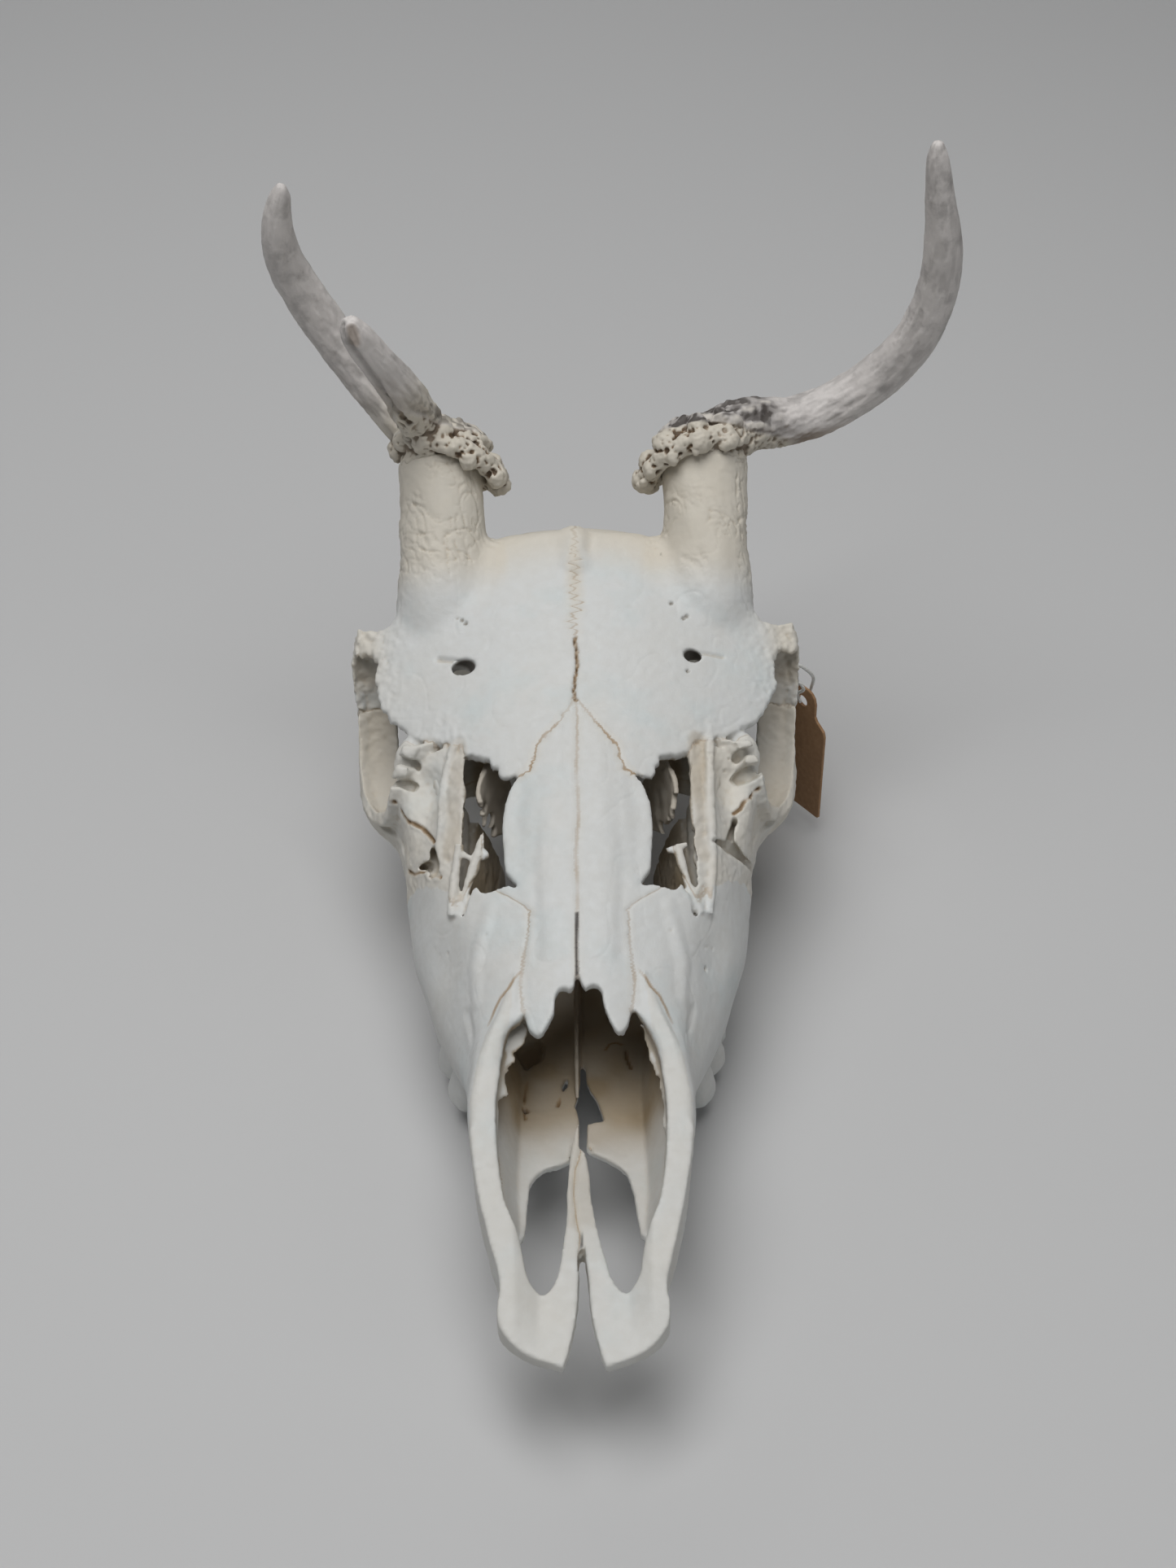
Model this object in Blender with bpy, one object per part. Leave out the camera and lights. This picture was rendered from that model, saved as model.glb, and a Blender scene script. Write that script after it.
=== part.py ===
"""Skull of a young fallow buck, life size, lying on its last molars and jugular processes.

The nose points to -Y and +Z is up, so the animal's left side is at +X. The sizes below are in
millimetres, in a frame whose X = 0 is the skull's midline, whose Y = 0 is just before the nose
and whose Z = 0 is the table. solid() turns them into metres, and a root empty puts the origin
under the middle of the whole.
"""

import math
import random

import bmesh
import bpy
import numpy as np
from mathutils import Matrix, Vector

MM = 0.001
MICRON = 1e-6
GAP = 0.3  # the suture left between two bones
FLAT = math.radians(2.0)  # faces that turn less than this are one facet
SIDES = {"right": -1, "left": 1}

# Driving sizes of the skull
PEDICLE_RADIUS = 10.9
PEDICLE_SLOPE = math.radians(42)
PEDICLE_FOOT = (33.5, 196.0, 82.0)
PEDICLE_LENGTH = 34.0
BURR_RADIUS = 13.0
PEARL_RADIUS = 2.6
TAG_SIZE = (18.0, 41.5, 0.8)
TAG_SHOULDER = 31.0
TAG_HOLE_DROP = 4.6
TAG_PLACE = (60.6, 197.1, 6.6)
TAG_TURN = math.radians(128)
STRING_RADIUS = 0.5

# Midline of the skull's roof, from the aperture to behind the crest: y, z, drop per x squared
ROOF = (
    (60, 51.0, 0.0200),
    (70, 54.5, 0.0190),
    (110, 66.5, 0.0120),
    (130, 72.6, 0.0105),
    (153, 79.4, 0.0065),
    (185, 90.0, 0.0050),
    (197, 93.4, 0.0044),
    (204, 94.6, 0.0048),
    (212, 89.5, 0.0048),
    (222, 81.0, 0.0050),
)

# Outer wall of one side of the face: y, then x and z at the top edge, shoulder, ridge, flank,
# widest line, cheek and alveolar edge
FACE = (
    (34, 16.5, 39.5, 18.5, 40.0, 21.3, 39.2, 21.5, 36.0, 21.0, 32.0, 19.0, 28.5, 16.5, 26.0),
    (46, 18.3, 43.5, 21.0, 44.0, 23.9, 43.0, 24.0, 39.0, 23.6, 34.0, 21.5, 29.0, 18.0, 25.0),
    (58, 18.6, 47.5, 21.5, 48.0, 24.6, 47.0, 25.2, 42.0, 25.2, 36.0, 23.0, 29.5, 19.0, 24.5),
    (68, 17.0, 51.0, 20.0, 51.0, 23.3, 49.5, 25.3, 43.0, 26.0, 36.0, 24.5, 29.0, 20.5, 23.5),
    (77, 11.3, 54.7, 18.0, 53.0, 22.7, 49.5, 26.0, 42.0, 28.0, 35.0, 27.0, 27.0, 24.0, 21.0),
    (87, 10.8, 57.9, 18.0, 55.5, 23.9, 51.0, 28.6, 44.0, 31.8, 35.5, 31.2, 26.0, 28.2, 17.5),
    (95, 10.3, 60.4, 19.0, 57.5, 26.2, 53.0, 31.2, 45.0, 34.8, 36.0, 34.4, 26.0, 30.5, 16.5),
    (107, 11.5, 63.9, 21.0, 61.0, 28.9, 56.6, 35.0, 48.0, 39.0, 37.0, 38.0, 26.5, 32.5, 15.5),
    (119, 15.0, 66.6, 30.0, 61.5, 35.0, 56.5, 38.5, 48.0, 41.3, 36.0, 39.0, 27.0, 33.0, 15.5),
    (130, 17.5, 69.5, 30.3, 65.5, 35.5, 59.5, 40.3, 54.0, 42.6, 42.0, 40.5, 30.0, 34.0, 14.5),
    (140, 17.5, 72.0, 29.8, 68.5, 36.0, 62.0, 42.5, 60.0, 43.2, 46.0, 42.3, 34.0, 34.5, 14.0),
    (149.4, 22.0, 72.5, 29.5, 71.5, 38.0, 67.0, 44.0, 61.0, 47.8, 48.0, 44.2, 36.0, 34.0, 15.0),
)

# Inside of the face: y, wall at mid height, floor at its foot, height of the floor
CAVITY = (
    (34, 17.0, 13.4, 27.6),
    (46, 18.0, 14.5, 26.6),
    (58, 17.8, 14.5, 25.5),
    (77, 17.0, 14.0, 23.8),
    (95, 19.0, 15.0, 22.1),
    (119, 21.0, 17.0, 20.2),
    (150, 19.0, 17.0, 19.0),
)
PALATE_THICKNESS = 2.4
PALATE_SUTURE_Y = 124.0

# Braincase: y, half width, height of its underside, height of its top
BRAINCASE = (
    (152, 14.0, 46.0, 71.0),
    (165, 16.0, 37.0, 76.0),
    (180, 19.0, 31.0, 82.0),
    (192, 27.0, 27.0, 88.0),
    (205, 35.0, 24.0, 92.0),
    (218, 37.0, 22.0, 86.0),
    (230, 36.5, 21.0, 76.0),
    (242, 33.0, 20.5, 65.0),
    (250, 27.0, 20.5, 57.0),
    (256, 17.0, 27.0, 50.5),
)

MATERIALS = {
    "frontal": (0.80, 0.80, 0.77),
    "nasal": (0.78, 0.79, 0.79),
    "maxilla": (0.76, 0.76, 0.74),
    "premaxilla": (0.80, 0.79, 0.76),
    "lacrimal": (0.78, 0.75, 0.68),
    "zygomatic": (0.78, 0.75, 0.69),
    "braincase": (0.77, 0.74, 0.67),
    "palatine": (0.74, 0.70, 0.62),
    "vomer": (0.66, 0.58, 0.45),
    "ethmoid": (0.60, 0.48, 0.33),
    "antler": (0.40, 0.36, 0.33),
    "label_tag": (0.52, 0.34, 0.20),
    "label_string": (0.80, 0.80, 0.78),
}


def clear_scene():
    for thing in list(bpy.data.objects):
        bpy.data.objects.remove(thing, do_unlink=True)


def graded(stations, place):
    """Values that run smoothly through a table of (place, value, ...) rows."""
    table = np.array(stations, float)
    at, values = table[:, 0], table[:, 1:]
    slopes = np.gradient(values, at, axis=0)
    place = np.clip(np.asarray(place, float), at[0], at[-1])
    row = np.clip(np.searchsorted(at, place, side="right") - 1, 0, len(at) - 2)
    step = at[row + 1] - at[row]
    part = ((place - at[row]) / step)[..., None]
    step = step[..., None]
    rise = values[row + 1] - values[row]
    bend = 3 * rise - step * (2 * slopes[row] + slopes[row + 1])
    twist = step * (slopes[row] + slopes[row + 1]) - 2 * rise
    return values[row] + part * (step * slopes[row] + part * (bend + part * twist))


def spline(points, count):
    """Points along a smooth curve through the given ones."""
    points = np.array(points, float)
    led = np.vstack([2 * points[0] - points[1], points, 2 * points[-1] - points[-2]])
    place = np.linspace(0, len(points) - 1, count)
    row = np.minimum(place.astype(int), len(points) - 2)
    t = (place - row)[:, None]
    a, b, c, d = led[row], led[row + 1], led[row + 2], led[row + 3]
    cubic = (3 * b - a - 3 * c + d) * t**3 + (2 * a - 5 * b + 4 * c - d) * t**2
    return 0.5 * (cubic + (c - a) * t + 2 * b)


def roof(x, y):
    """Height of the skull's roof."""
    middle, drop = np.moveaxis(graded(ROOF, y), -1, 0)
    return middle - drop * np.asarray(x, float) ** 2


def solid(name, bm):
    """An object in metres from a mesh in millimetres, faces out."""
    bmesh.ops.recalc_face_normals(bm, faces=bm.faces)
    if bm.calc_volume(signed=True) < 0:
        bmesh.ops.reverse_faces(bm, faces=bm.faces)
    bmesh.ops.scale(bm, vec=Vector((MM, MM, MM)), verts=bm.verts)
    mesh = bpy.data.meshes.new(name)
    bm.to_mesh(mesh)
    bm.free()
    thing = bpy.data.objects.new(name, mesh)
    bpy.context.scene.collection.objects.link(thing)
    return thing


def loft(rings, name="loft"):
    """A closed body through rings with the same number of points."""
    bm = bmesh.new()
    loops = [[bm.verts.new(Vector(point)) for point in ring] for ring in rings]
    for near, far in zip(loops, loops[1:]):
        for i in range(len(near)):
            j = (i + 1) % len(near)
            bm.faces.new((near[i], near[j], far[j], far[i]))
    bm.faces.new(reversed(loops[0]))
    bm.faces.new(loops[-1])
    bm.normal_update()
    bmesh.ops.triangulate(bm, faces=bm.faces)
    return solid(name, bm)


def sheet(rows, thickness, name="sheet"):
    """A closed plate: a grid of points is its outer face, and it is as thick inwards as given."""
    grid = np.array(rows, float)
    across = np.gradient(grid, axis=1)
    along = np.gradient(grid, axis=0)
    normal = np.cross(across, along)
    normal /= np.linalg.norm(normal, axis=-1, keepdims=True)
    inner = grid - normal * thickness
    return loft([np.vstack([outer, under[::-1]]) for outer, under in zip(grid, inner)], name)


def rod(points, radii, sides=8, steps=8, flat=1.0, lie=(0, 0, 1), name="rod"):
    """A tapering bar through the points. flat scales its width across the direction lie."""
    line = spline(points, steps)
    width = spline(np.array(radii, float)[:, None], steps)[:, 0]
    ahead = np.gradient(line, axis=0)
    rings = []
    for point, forward, radius in zip(line, ahead, width):
        side = np.cross(forward, lie)
        side /= np.linalg.norm(side)
        up = np.cross(side, forward)
        up /= np.linalg.norm(up)
        angles = np.arange(sides) * 2 * math.pi / sides
        ring = np.outer(np.cos(angles), side * radius * flat) + np.outer(np.sin(angles), up * radius)
        rings.append(point + ring)
    return loft(rings, name)


def blob(center, radii, detail=8, turn=0.0, name="blob"):
    """An ellipsoid, turned about X by the given degrees."""
    bm = bmesh.new()
    size = Matrix.Diagonal((*radii, 1))
    place = Matrix.Translation(center) @ Matrix.Rotation(math.radians(turn), 4, "X") @ size
    bmesh.ops.create_uvsphere(
        bm, u_segments=detail, v_segments=max(4, detail // 2 + 1), radius=1, matrix=place
    )
    bmesh.ops.triangulate(bm, faces=bm.faces)
    return solid(name, bm)


def prism(outline, bottom, top, name="prism"):
    """An upright cutter with the given plan outline."""
    curve = bpy.data.curves.new(name, "CURVE")
    curve.dimensions = "2D"
    curve.fill_mode = "BOTH"
    curve.extrude = (top - bottom) / 2 * MM
    line = curve.splines.new("POLY")
    line.points.add(len(outline) - 1)
    for point, (x, y) in zip(line.points, outline):
        point.co = (x * MM, y * MM, 0, 1)
    line.use_cyclic_u = True
    flat = bpy.data.objects.new(name, curve)
    flat.location.z = (top + bottom) / 2 * MM
    bpy.context.scene.collection.objects.link(flat)
    bpy.context.view_layer.update()
    graph = bpy.context.evaluated_depsgraph_get()
    mesh = bpy.data.meshes.new_from_object(flat.evaluated_get(graph))
    mesh.transform(flat.matrix_world)
    bpy.data.objects.remove(flat)
    bm = bmesh.new()
    bm.from_mesh(mesh)
    bmesh.ops.remove_doubles(bm, verts=bm.verts, dist=1e-6)
    bmesh.ops.scale(bm, vec=Vector((1 / MM, 1 / MM, 1 / MM)), verts=bm.verts)
    return solid(name, bm)


def largest_part(bm):
    """Keeps only the largest closed surface of a mesh."""
    todo = set(bm.verts)
    parts = []
    while todo:
        part = {todo.pop()}
        edge = list(part)
        while edge:
            near = {link.other_vert(vert) for vert in edge for link in vert.link_edges} - part
            part |= near
            edge = list(near)
        todo -= part
        parts.append(part)

    def extent(part):
        points = np.array([vert.co for vert in part])
        return float(np.prod(np.ptp(points, axis=0) + 1e-4))

    keep = max(parts, key=extent)
    bmesh.ops.delete(bm, geom=[vert for vert in bm.verts if vert not in keep], context="VERTS")


def thin_out(mesh):
    """Joins faces that lie in nearly one plane, then cuts all into triangles again."""
    for weld, share in ((60, 1), (20, 1), (2, 1), (60, 0.5), (20, 0.5), (2, 0.5), (2, 0.2)):
        bm = bmesh.new()
        bm.from_mesh(mesh)
        bmesh.ops.remove_doubles(bm, verts=bm.verts, dist=weld * MICRON)
        bmesh.ops.dissolve_degenerate(bm, edges=bm.edges, dist=MICRON)
        bmesh.ops.dissolve_limit(bm, angle_limit=FLAT * share, verts=bm.verts, edges=bm.edges)
        bmesh.ops.triangulate(bm, faces=bm.faces)
        closed = all(edge.is_manifold for edge in bm.edges)
        if closed:
            bm.to_mesh(mesh)
        bm.free()
        if closed:
            return


def combine(thing, others, operation, solver="MANIFOLD"):
    """Applies one Boolean of the object with all the others, which are used up."""
    group = bpy.data.collections.new("operands")
    bpy.context.scene.collection.children.link(group)
    for other in others:
        bpy.context.scene.collection.objects.unlink(other)
        group.objects.link(other)
    step = thing.modifiers.new(operation.lower(), "BOOLEAN")
    step.operation = operation
    step.operand_type = "COLLECTION"
    step.collection = group
    step.solver = solver
    bpy.context.view_layer.update()
    graph = bpy.context.evaluated_depsgraph_get()
    mesh = bpy.data.meshes.new_from_object(thing.evaluated_get(graph))
    thing.modifiers.clear()
    for other in others:
        bpy.data.objects.remove(other)
    bpy.data.collections.remove(group)
    bm = bmesh.new()
    bm.from_mesh(mesh)
    bmesh.ops.remove_doubles(bm, verts=bm.verts, dist=2e-6)
    largest_part(bm)
    bmesh.ops.triangulate(bm, faces=bm.faces)
    bm.to_mesh(mesh)
    bm.free()
    thing.data = mesh
    return thing


def fuse(pieces, name):
    """One closed body of several that overlap."""
    whole = combine(pieces[0], pieces[1:], "UNION", "EXACT") if len(pieces) > 1 else pieces[0]
    whole.name = name
    return whole


def swollen(thing, gap=GAP):
    """A copy of a body with its faces moved out by the gap, to cut room for it in a neighbour."""
    bm = bmesh.new()
    bm.from_mesh(thing.data)
    bm.normal_update()
    moves = [vert.normal * gap * MM * min(vert.calc_shell_factor(), 2.0) for vert in bm.verts]
    for vert, move in zip(bm.verts, moves):
        vert.co += move
    mesh = bpy.data.meshes.new("cutter")
    bm.to_mesh(mesh)
    bm.free()
    copy = bpy.data.objects.new("cutter", mesh)
    bpy.context.scene.collection.objects.link(copy)
    return copy


def clear_of(thing, neighbours):
    """Cuts a body back by the gap from bodies that are already in place."""
    return combine(thing, [swollen(other) for other in neighbours], "DIFFERENCE")


def mirrored(points, side):
    return [(side * point[0], *point[1:]) for point in points]


def roof_slab(x_range, y_range, steps, thickness, side):
    """A slab under the skull's roof. thickness(x, y) is its depth."""
    across = np.linspace(*x_range, steps[0])
    rings = []
    for y in np.linspace(*y_range, steps[1]):
        top = roof(across, y)
        under = top - thickness(across, y)
        outer = [(side * x, y, z) for x, z in zip(across, top)]
        inner = [(side * x, y, z) for x, z in zip(across, under)]
        rings.append(outer + inner[::-1])
    return loft(rings, "slab")


def nasal(side):
    """One nasal bone: an arched strip with a forked front."""
    tip = [(0.15, 83.5), (2.2, 81), (4, 81.5), (5.6, 79.5), (7, 76), (8.8, 72.4), (10.2, 73), (11.6, 77)]
    outer = [(12.3, 84), (11.4, 93), (11.3, 103), (14, 108), (17, 112.5), (17.8, 124), (15.6, 134.5)]
    suture = [(11.1, 137.4), (9.3, 143.6), (4.6, 149), (0.15, 155.2)]
    slab = roof_slab((0, 20), (68, 158), (7, 16), lambda x, y: 2.4 + 0 * x, side)
    return combine(slab, [prism(mirrored(tip + outer + suture, side), 30, 100)], "INTERSECT")


def frontal_outline():
    """Plan of one frontal, from the nasal suture round the orbit to the crest and back."""
    front = [(0.15, 150), (11, 134.5), (14, 136.9), (18.4, 137.6), (20.5, 142.2), (26.2, 145.6)]
    margin = [(29, 148.9), (35.5, 151.6), (41, 156), (44.6, 159.3), (48, 164.6), (50, 172.2), (49.4, 178)]
    corner = [(53, 181.3), (56.6, 183), (56.2, 185.6), (51.5, 186.8), (46.5, 188.4), (43.6, 191.6)]
    back = [(43, 198), (42, 206), (38, 212), (26, 213), (21, 210), (12, 212), (0.15, 213)]
    return front + margin + corner + back


def frontal_depth(x, y):
    """Thin over the orbit, thick over the brain."""
    inward = np.clip((44 - x) / 22, 0, 1)
    backward = np.clip((np.asarray(y) - 140) / 30, 0, 1)
    return 2.4 + 5.0 * inward * backward


def pedicle_point(side, along, out=0.0, near=0.0):
    """A point of a pedicle's axis: along it, out sideways and near the viewer's side of it."""
    cos, sin = math.cos(PEDICLE_SLOPE), math.sin(PEDICLE_SLOPE)
    x, y, z = PEDICLE_FOOT
    return (
        side * (x + 0.02 * along + out),
        y + cos * along - sin * near,
        z + sin * along + cos * near,
    )


def frontal(side):
    """One frontal with its pedicle and the upper half of the bar behind the orbit."""
    slab = roof_slab((0, 60), (132, 220), (13, 19), frontal_depth, side)
    plate = combine(slab, [prism(mirrored(frontal_outline(), side), 30, 120)], "INTERSECT")
    stations = (-16, -6, 4, 14, PEDICLE_LENGTH)
    axis = [pedicle_point(side, along) for along in stations]
    stem = rod(axis, (10, 11.6, 11.8, PEDICLE_RADIUS, PEDICLE_RADIUS), 14, 7)
    post = [(50.5, 185.0, 74), (53.0, 184.8, 70), (53.2, 182.5, 64), (52.0, 179.6, 57.5)]
    bar = rod(mirrored(post, side), (3.6, 4.4, 4.2, 4.0), 8, 6, 0.5, (1, 0, 0))
    return fuse([plate, stem, bar], "frontal")


def premaxilla(side):
    """One premaxilla: a flat tip, a bar along the midline and a bar up the side of the aperture."""
    outer = [(4.4, 1.4), (9.8, 3.2), (14.5, 5.8), (17.7, 10), (18.2, 14), (17.8, 19.5), (20.5, 29)]
    flank = [(22.6, 38), (24.3, 49), (24.4, 58), (22.8, 67), (18.6, 77), (14.6, 86.5)]
    rim = [(12.6, 84), (12.8, 76), (15.4, 74), (17, 69.5), (18.4, 64), (18.8, 54), (18.2, 44), (16.6, 35.5)]
    fissure = [(13.6, 29), (12, 21), (9, 17.8), (6, 19.6), (4.2, 27.5), (2.9, 38), (2.6, 50), (1.8, 61.5)]
    inner = [(0.5, 62.5), (0.45, 28.5), (1, 19), (2.3, 8.8), (3.5, 4)]
    across = np.linspace(0, 26, 9)
    rings = []
    for y in np.linspace(0, 88, 19):
        rim_height = 29 + 0.335 * (y - 1.5)
        hollow = 3.2 * np.clip((y - 3) / 12, 0, 1) + np.clip((y - 24) / 30, 0, 1) * 16
        top = rim_height - hollow * np.clip((14.5 - across) / 5, 0, 1)
        under = np.interp(y, (0, 8, 25, 34, 50, 60, 76, 88), (27, 26, 26, 27.5, 33, 38, 46.5, 54))
        low = under - np.clip((14 - across) / 3, 0, 1) * max(0.0, under - 26.2)
        upper = [(side * x, y, z) for x, z in zip(across, np.maximum(top, low + 2.0))]
        lower = [(side * x, y, z) for x, z in zip(across, low)]
        rings.append(upper + lower[::-1])
    plan = mirrored(outer + flank + rim + fissure + inner, side)
    return combine(loft(rings), [prism(plan, 10, 70)], "INTERSECT")


def palate_edge(side, y):
    """Distance of the palate's inner edge from the midline, which is damaged on the left."""
    left = ((34, 13.3), (36, 11.3), (47, 11), (52, 10.3), (56, 8.2), (58, 2.9), (62.8, 2.9), (63.2, 0.8),
            (69, 1.2), (70, 5.4), (75, 4.6), (80, 2.2), (110, 1.6), (123.6, 0.3))
    right = ((34, 13.3), (36, 11.3), (47, 11), (52, 10.3), (56, 8.2), (58, 2.9), (62.8, 2.9), (63.2, 0.8),
             (110, 0.5), (123.6, 0.3))
    stations = left if side > 0 else right
    if y > PALATE_SUTURE_Y - 0.2:
        return 20.6
    return float(np.interp(y, *zip(*stations)))


def face_ring(side, y):
    """One upright section of the side of the face, as a closed C."""
    wall = graded(FACE, y).reshape(7, 2)
    wall_x, foot_x, floor = graded(CAVITY, y)
    top, shoulder, ridge, flank, _, _, alveolar = wall
    root = alveolar[0] - np.interp(y, (34, 70, 80, 150), (3, 4, 9.5, 12.5))
    inside = np.interp(y, (34, 70, 90, 150), (1.5, 1.5, 2.0, 2.0))
    edge = palate_edge(side, y)
    low = floor - PALATE_THICKNESS
    ring = [*wall, (root, alveolar[1]), (max(root - 1.5, edge + 0.4), max(low, alveolar[1] + 0.2))]
    ring += [(edge, low), (edge, floor), (max(foot_x, edge + 0.3), floor), (wall_x, floor + 7)]
    ring += [(min(flank[0] - 2.5, wall_x + 5), (floor + flank[1]) / 2 + 3)]
    ring += [(ridge[0] - 2.6, ridge[1] - 3), (shoulder[0] - 0.6, shoulder[1] - inside - 0.6)]
    ring += [(top[0], top[1] - inside)]
    return [(side * x, y, z) for x, z in ring]


def tooth(side, y, length, width, height, lean):
    """A cheek tooth: two rounded lobes with a cusp each, standing on the alveolar edge."""
    wall = graded(FACE, y).reshape(7, 2)
    x = wall[6][0] - width / 2 + 0.2
    top = wall[6][1] + 3
    pieces = []
    lobes = 2 if length > 11 else 1
    for lobe in range(lobes):
        middle = y + (lobe - (lobes - 1) / 2) * length / lobes
        half = length / lobes / 2 * 1.14
        rings = []
        for share, swell in ((0, 0.86), (0.55, 1.0), (0.9, 0.92), (1, 0.62)):
            z = top + (height - top) * share
            ring = []
            for turn in range(8):
                angle = 2 * math.pi * (turn + 0.5) / 8
                ring.append(
                    (
                        side * (x + lean * share + width / 2 * swell * math.cos(angle)),
                        middle + half * swell * math.sin(angle),
                        z,
                    )
                )
            rings.append(ring)
        pieces.append(loft(rings))
    return pieces


def tooth_row(side):
    """The six cheek teeth, from the small premolar in front to the last molar."""
    sizes = ((9.6, 8.0), (10.4, 9.6), (10.2, 11.0), (13.4, 13.0), (15.6, 14.0), (15.4, 14.0))
    pieces = []
    y = 77.0
    for length, width in sizes:
        middle = y + length / 2
        tip = max(0.0, 7.6 - (middle - 82) * 0.125)
        pieces += tooth(side, middle, length - 0.2, width, tip, 1.4)
        y += length
    return pieces


def vacuity(side):
    """Cutter for the gap between the nasal, the lacrimal and the maxilla."""
    front = [(10, 113), (14.5, 113.2), (20.5, 115.5), (25.4, 114), (26.8, 107.5), (28, 109)]
    outer = [(27.6, 122), (27.3, 133), (27.6, 145), (27.8, 153), (10, 153)]
    return prism(mirrored(front + outer, side), 45, 90)


def knife(points, direction, name="knife"):
    """A blade as thin as a suture, through the points and on both sides along the direction."""
    line = np.array(points, float)
    stroke = np.array(direction, float)
    ahead = np.gradient(line, axis=0)
    edge = np.cross(ahead, stroke)
    edge *= GAP / 2 / np.linalg.norm(edge, axis=1, keepdims=True)
    rings = [
        [point + side + stroke, point - side + stroke, point - side - stroke, point + side - stroke]
        for point, side in zip(line, edge)
    ]
    return loft(rings, name)


def orbit_rim(side):
    """The bars that edge the orbit in front and below, and the front half of the cheek arch."""
    rim = [(40.5, 151.5, 68.5), (43, 147.5, 66), (44.6, 145, 58), (46.2, 147, 49.5), (48.6, 154.5, 45.2),
           (50.6, 164.5, 46.2), (51.4, 173, 50.8), (51.9, 178.6, 57.1)]
    upper = [(40.5, 131, 44), (42.4, 139, 45), (44.4, 145.5, 45.3), (48.5, 150, 45), (52.6, 155, 44.8),
             (54.6, 164, 45.3), (55, 172, 48)]
    lower = [(39.5, 129, 33.5), (41.8, 140, 33.8), (43.8, 149.5, 34), (47, 155.5, 35), (51.6, 160, 36.4),
             (54.2, 167, 38), (54.6, 176, 39.6)]
    low = [(51.5, 160, 41), (52.8, 170, 41.2), (52.8, 178, 42), (51.8, 186, 43)]
    bar = rod(mirrored(rim, side), (2.0, 2.3, 2.6, 3.2, 4.0, 4.4, 4.2, 4.0), 8, 15, 0.55, (1, 0, 0))
    rows = [spline(upper, 9) * (1 - t) + spline(lower, 9) * t + (0.6 * t * (1 - t) * 4, 0, 0) for t in (0, 0.35, 0.7, 1)]
    plate = sheet([mirrored(row, side) for row in rows], 3.4 * side)
    arch = rod(mirrored(low, side), (3.2, 4.2, 3.8, 3.4), 8, 7, 0.6, (0, 0, 1))
    bead = [(28.6, 106.5, 56.5), (29.4, 114, 60.2), (29.8, 125, 63.6), (29.6, 136, 67.2), (29.4, 148.5, 70.4)]
    bead_bar = rod(mirrored(bead, side), (1.2, 1.8, 2.0, 2.2, 1.8), 6, 8)
    return [bar, plate, arch, bead_bar]


def orbital_wall(side):
    """The lacrimal's thin wall between the orbit and the nose."""
    edge = [(39.5, 151, 69.4), (43, 147, 65), (44.4, 145.4, 57.5), (46, 147, 50)]
    inner = [(19.5, 158.5, 71), (18.8, 158.5, 65), (18.2, 159, 57), (17.6, 160, 49)]
    rows = [np.array(edge) * (1 - t) + np.array(inner) * t for t in np.linspace(0, 1, 5)]
    return sheet([mirrored(row, side) for row in rows], 1.6 * side)


def face_side(side):
    """Maxilla, lacrimal and cheek bone of one side as one body, with teeth, before the sutures."""
    steps = [34, 36.5, 42, 47, 52, 55.5, 58, 60.5, 62.8, 63.2, 66, 69, 70, 75, 80, 87, 95, 101, 107, 113]
    steps += [119, 123.6, 124, 130, 135, 140, 145, 149.4]
    wall = loft([face_ring(side, y) for y in steps], "face")
    pieces = [wall, *orbit_rim(side), orbital_wall(side), *tooth_row(side)]
    return combine(fuse(pieces, "face"), [vacuity(side)], "DIFFERENCE")


def part_with(whole, blades, inside):
    """Cuts a body with blades, and parts it by the places given: name to a point in each piece."""
    cut = whole.copy()
    cut.data = whole.data.copy()
    bpy.context.scene.collection.objects.link(cut)
    bpy.data.objects.remove(whole)
    group = bpy.data.collections.new("blades")
    bpy.context.scene.collection.children.link(group)
    for blade in blades:
        bpy.context.scene.collection.objects.unlink(blade)
        group.objects.link(blade)
    step = cut.modifiers.new("sutures", "BOOLEAN")
    step.operation = "DIFFERENCE"
    step.operand_type = "COLLECTION"
    step.collection = group
    step.solver = "MANIFOLD"
    bpy.context.view_layer.update()
    graph = bpy.context.evaluated_depsgraph_get()
    mesh = bpy.data.meshes.new_from_object(cut.evaluated_get(graph))
    for thing in [cut, *blades]:
        bpy.data.objects.remove(thing)
    bpy.data.collections.remove(group)
    pieces = {}
    for name, place in inside.items():
        bm = bmesh.new()
        bm.from_mesh(mesh)
        bmesh.ops.remove_doubles(bm, verts=bm.verts, dist=2e-6)
        target = Vector(place) * MM
        seed = min(bm.verts, key=lambda vert: (vert.co - target).length)
        part = {seed}
        edge = [seed]
        while edge:
            near = {link.other_vert(vert) for vert in edge for link in vert.link_edges} - part
            part |= near
            edge = list(near)
        bmesh.ops.delete(bm, geom=[vert for vert in bm.verts if vert not in part], context="VERTS")
        bmesh.ops.triangulate(bm, faces=bm.faces)
        bmesh.ops.scale(bm, vec=Vector((1 / MM, 1 / MM, 1 / MM)), verts=bm.verts)
        pieces[name] = solid(name, bm)
    return pieces


def face_sutures(side):
    """Blades between the maxilla, the lacrimal and the cheek bone."""
    back = [(100, 63), (105.5, 58.6), (112, 57.6), (118, 54), (122, 49), (125.5, 41), (129.5, 33.5),
            (136, 31), (160, 30.5)]
    upper = [(119.5, 50.2), (127, 51.2), (134, 52.6), (143, 54), (163, 55.5)]
    reach = (26, 0, 0)
    return [knife([(side * 36, *place) for place in line], reach) for line in (back, upper)]


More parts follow.
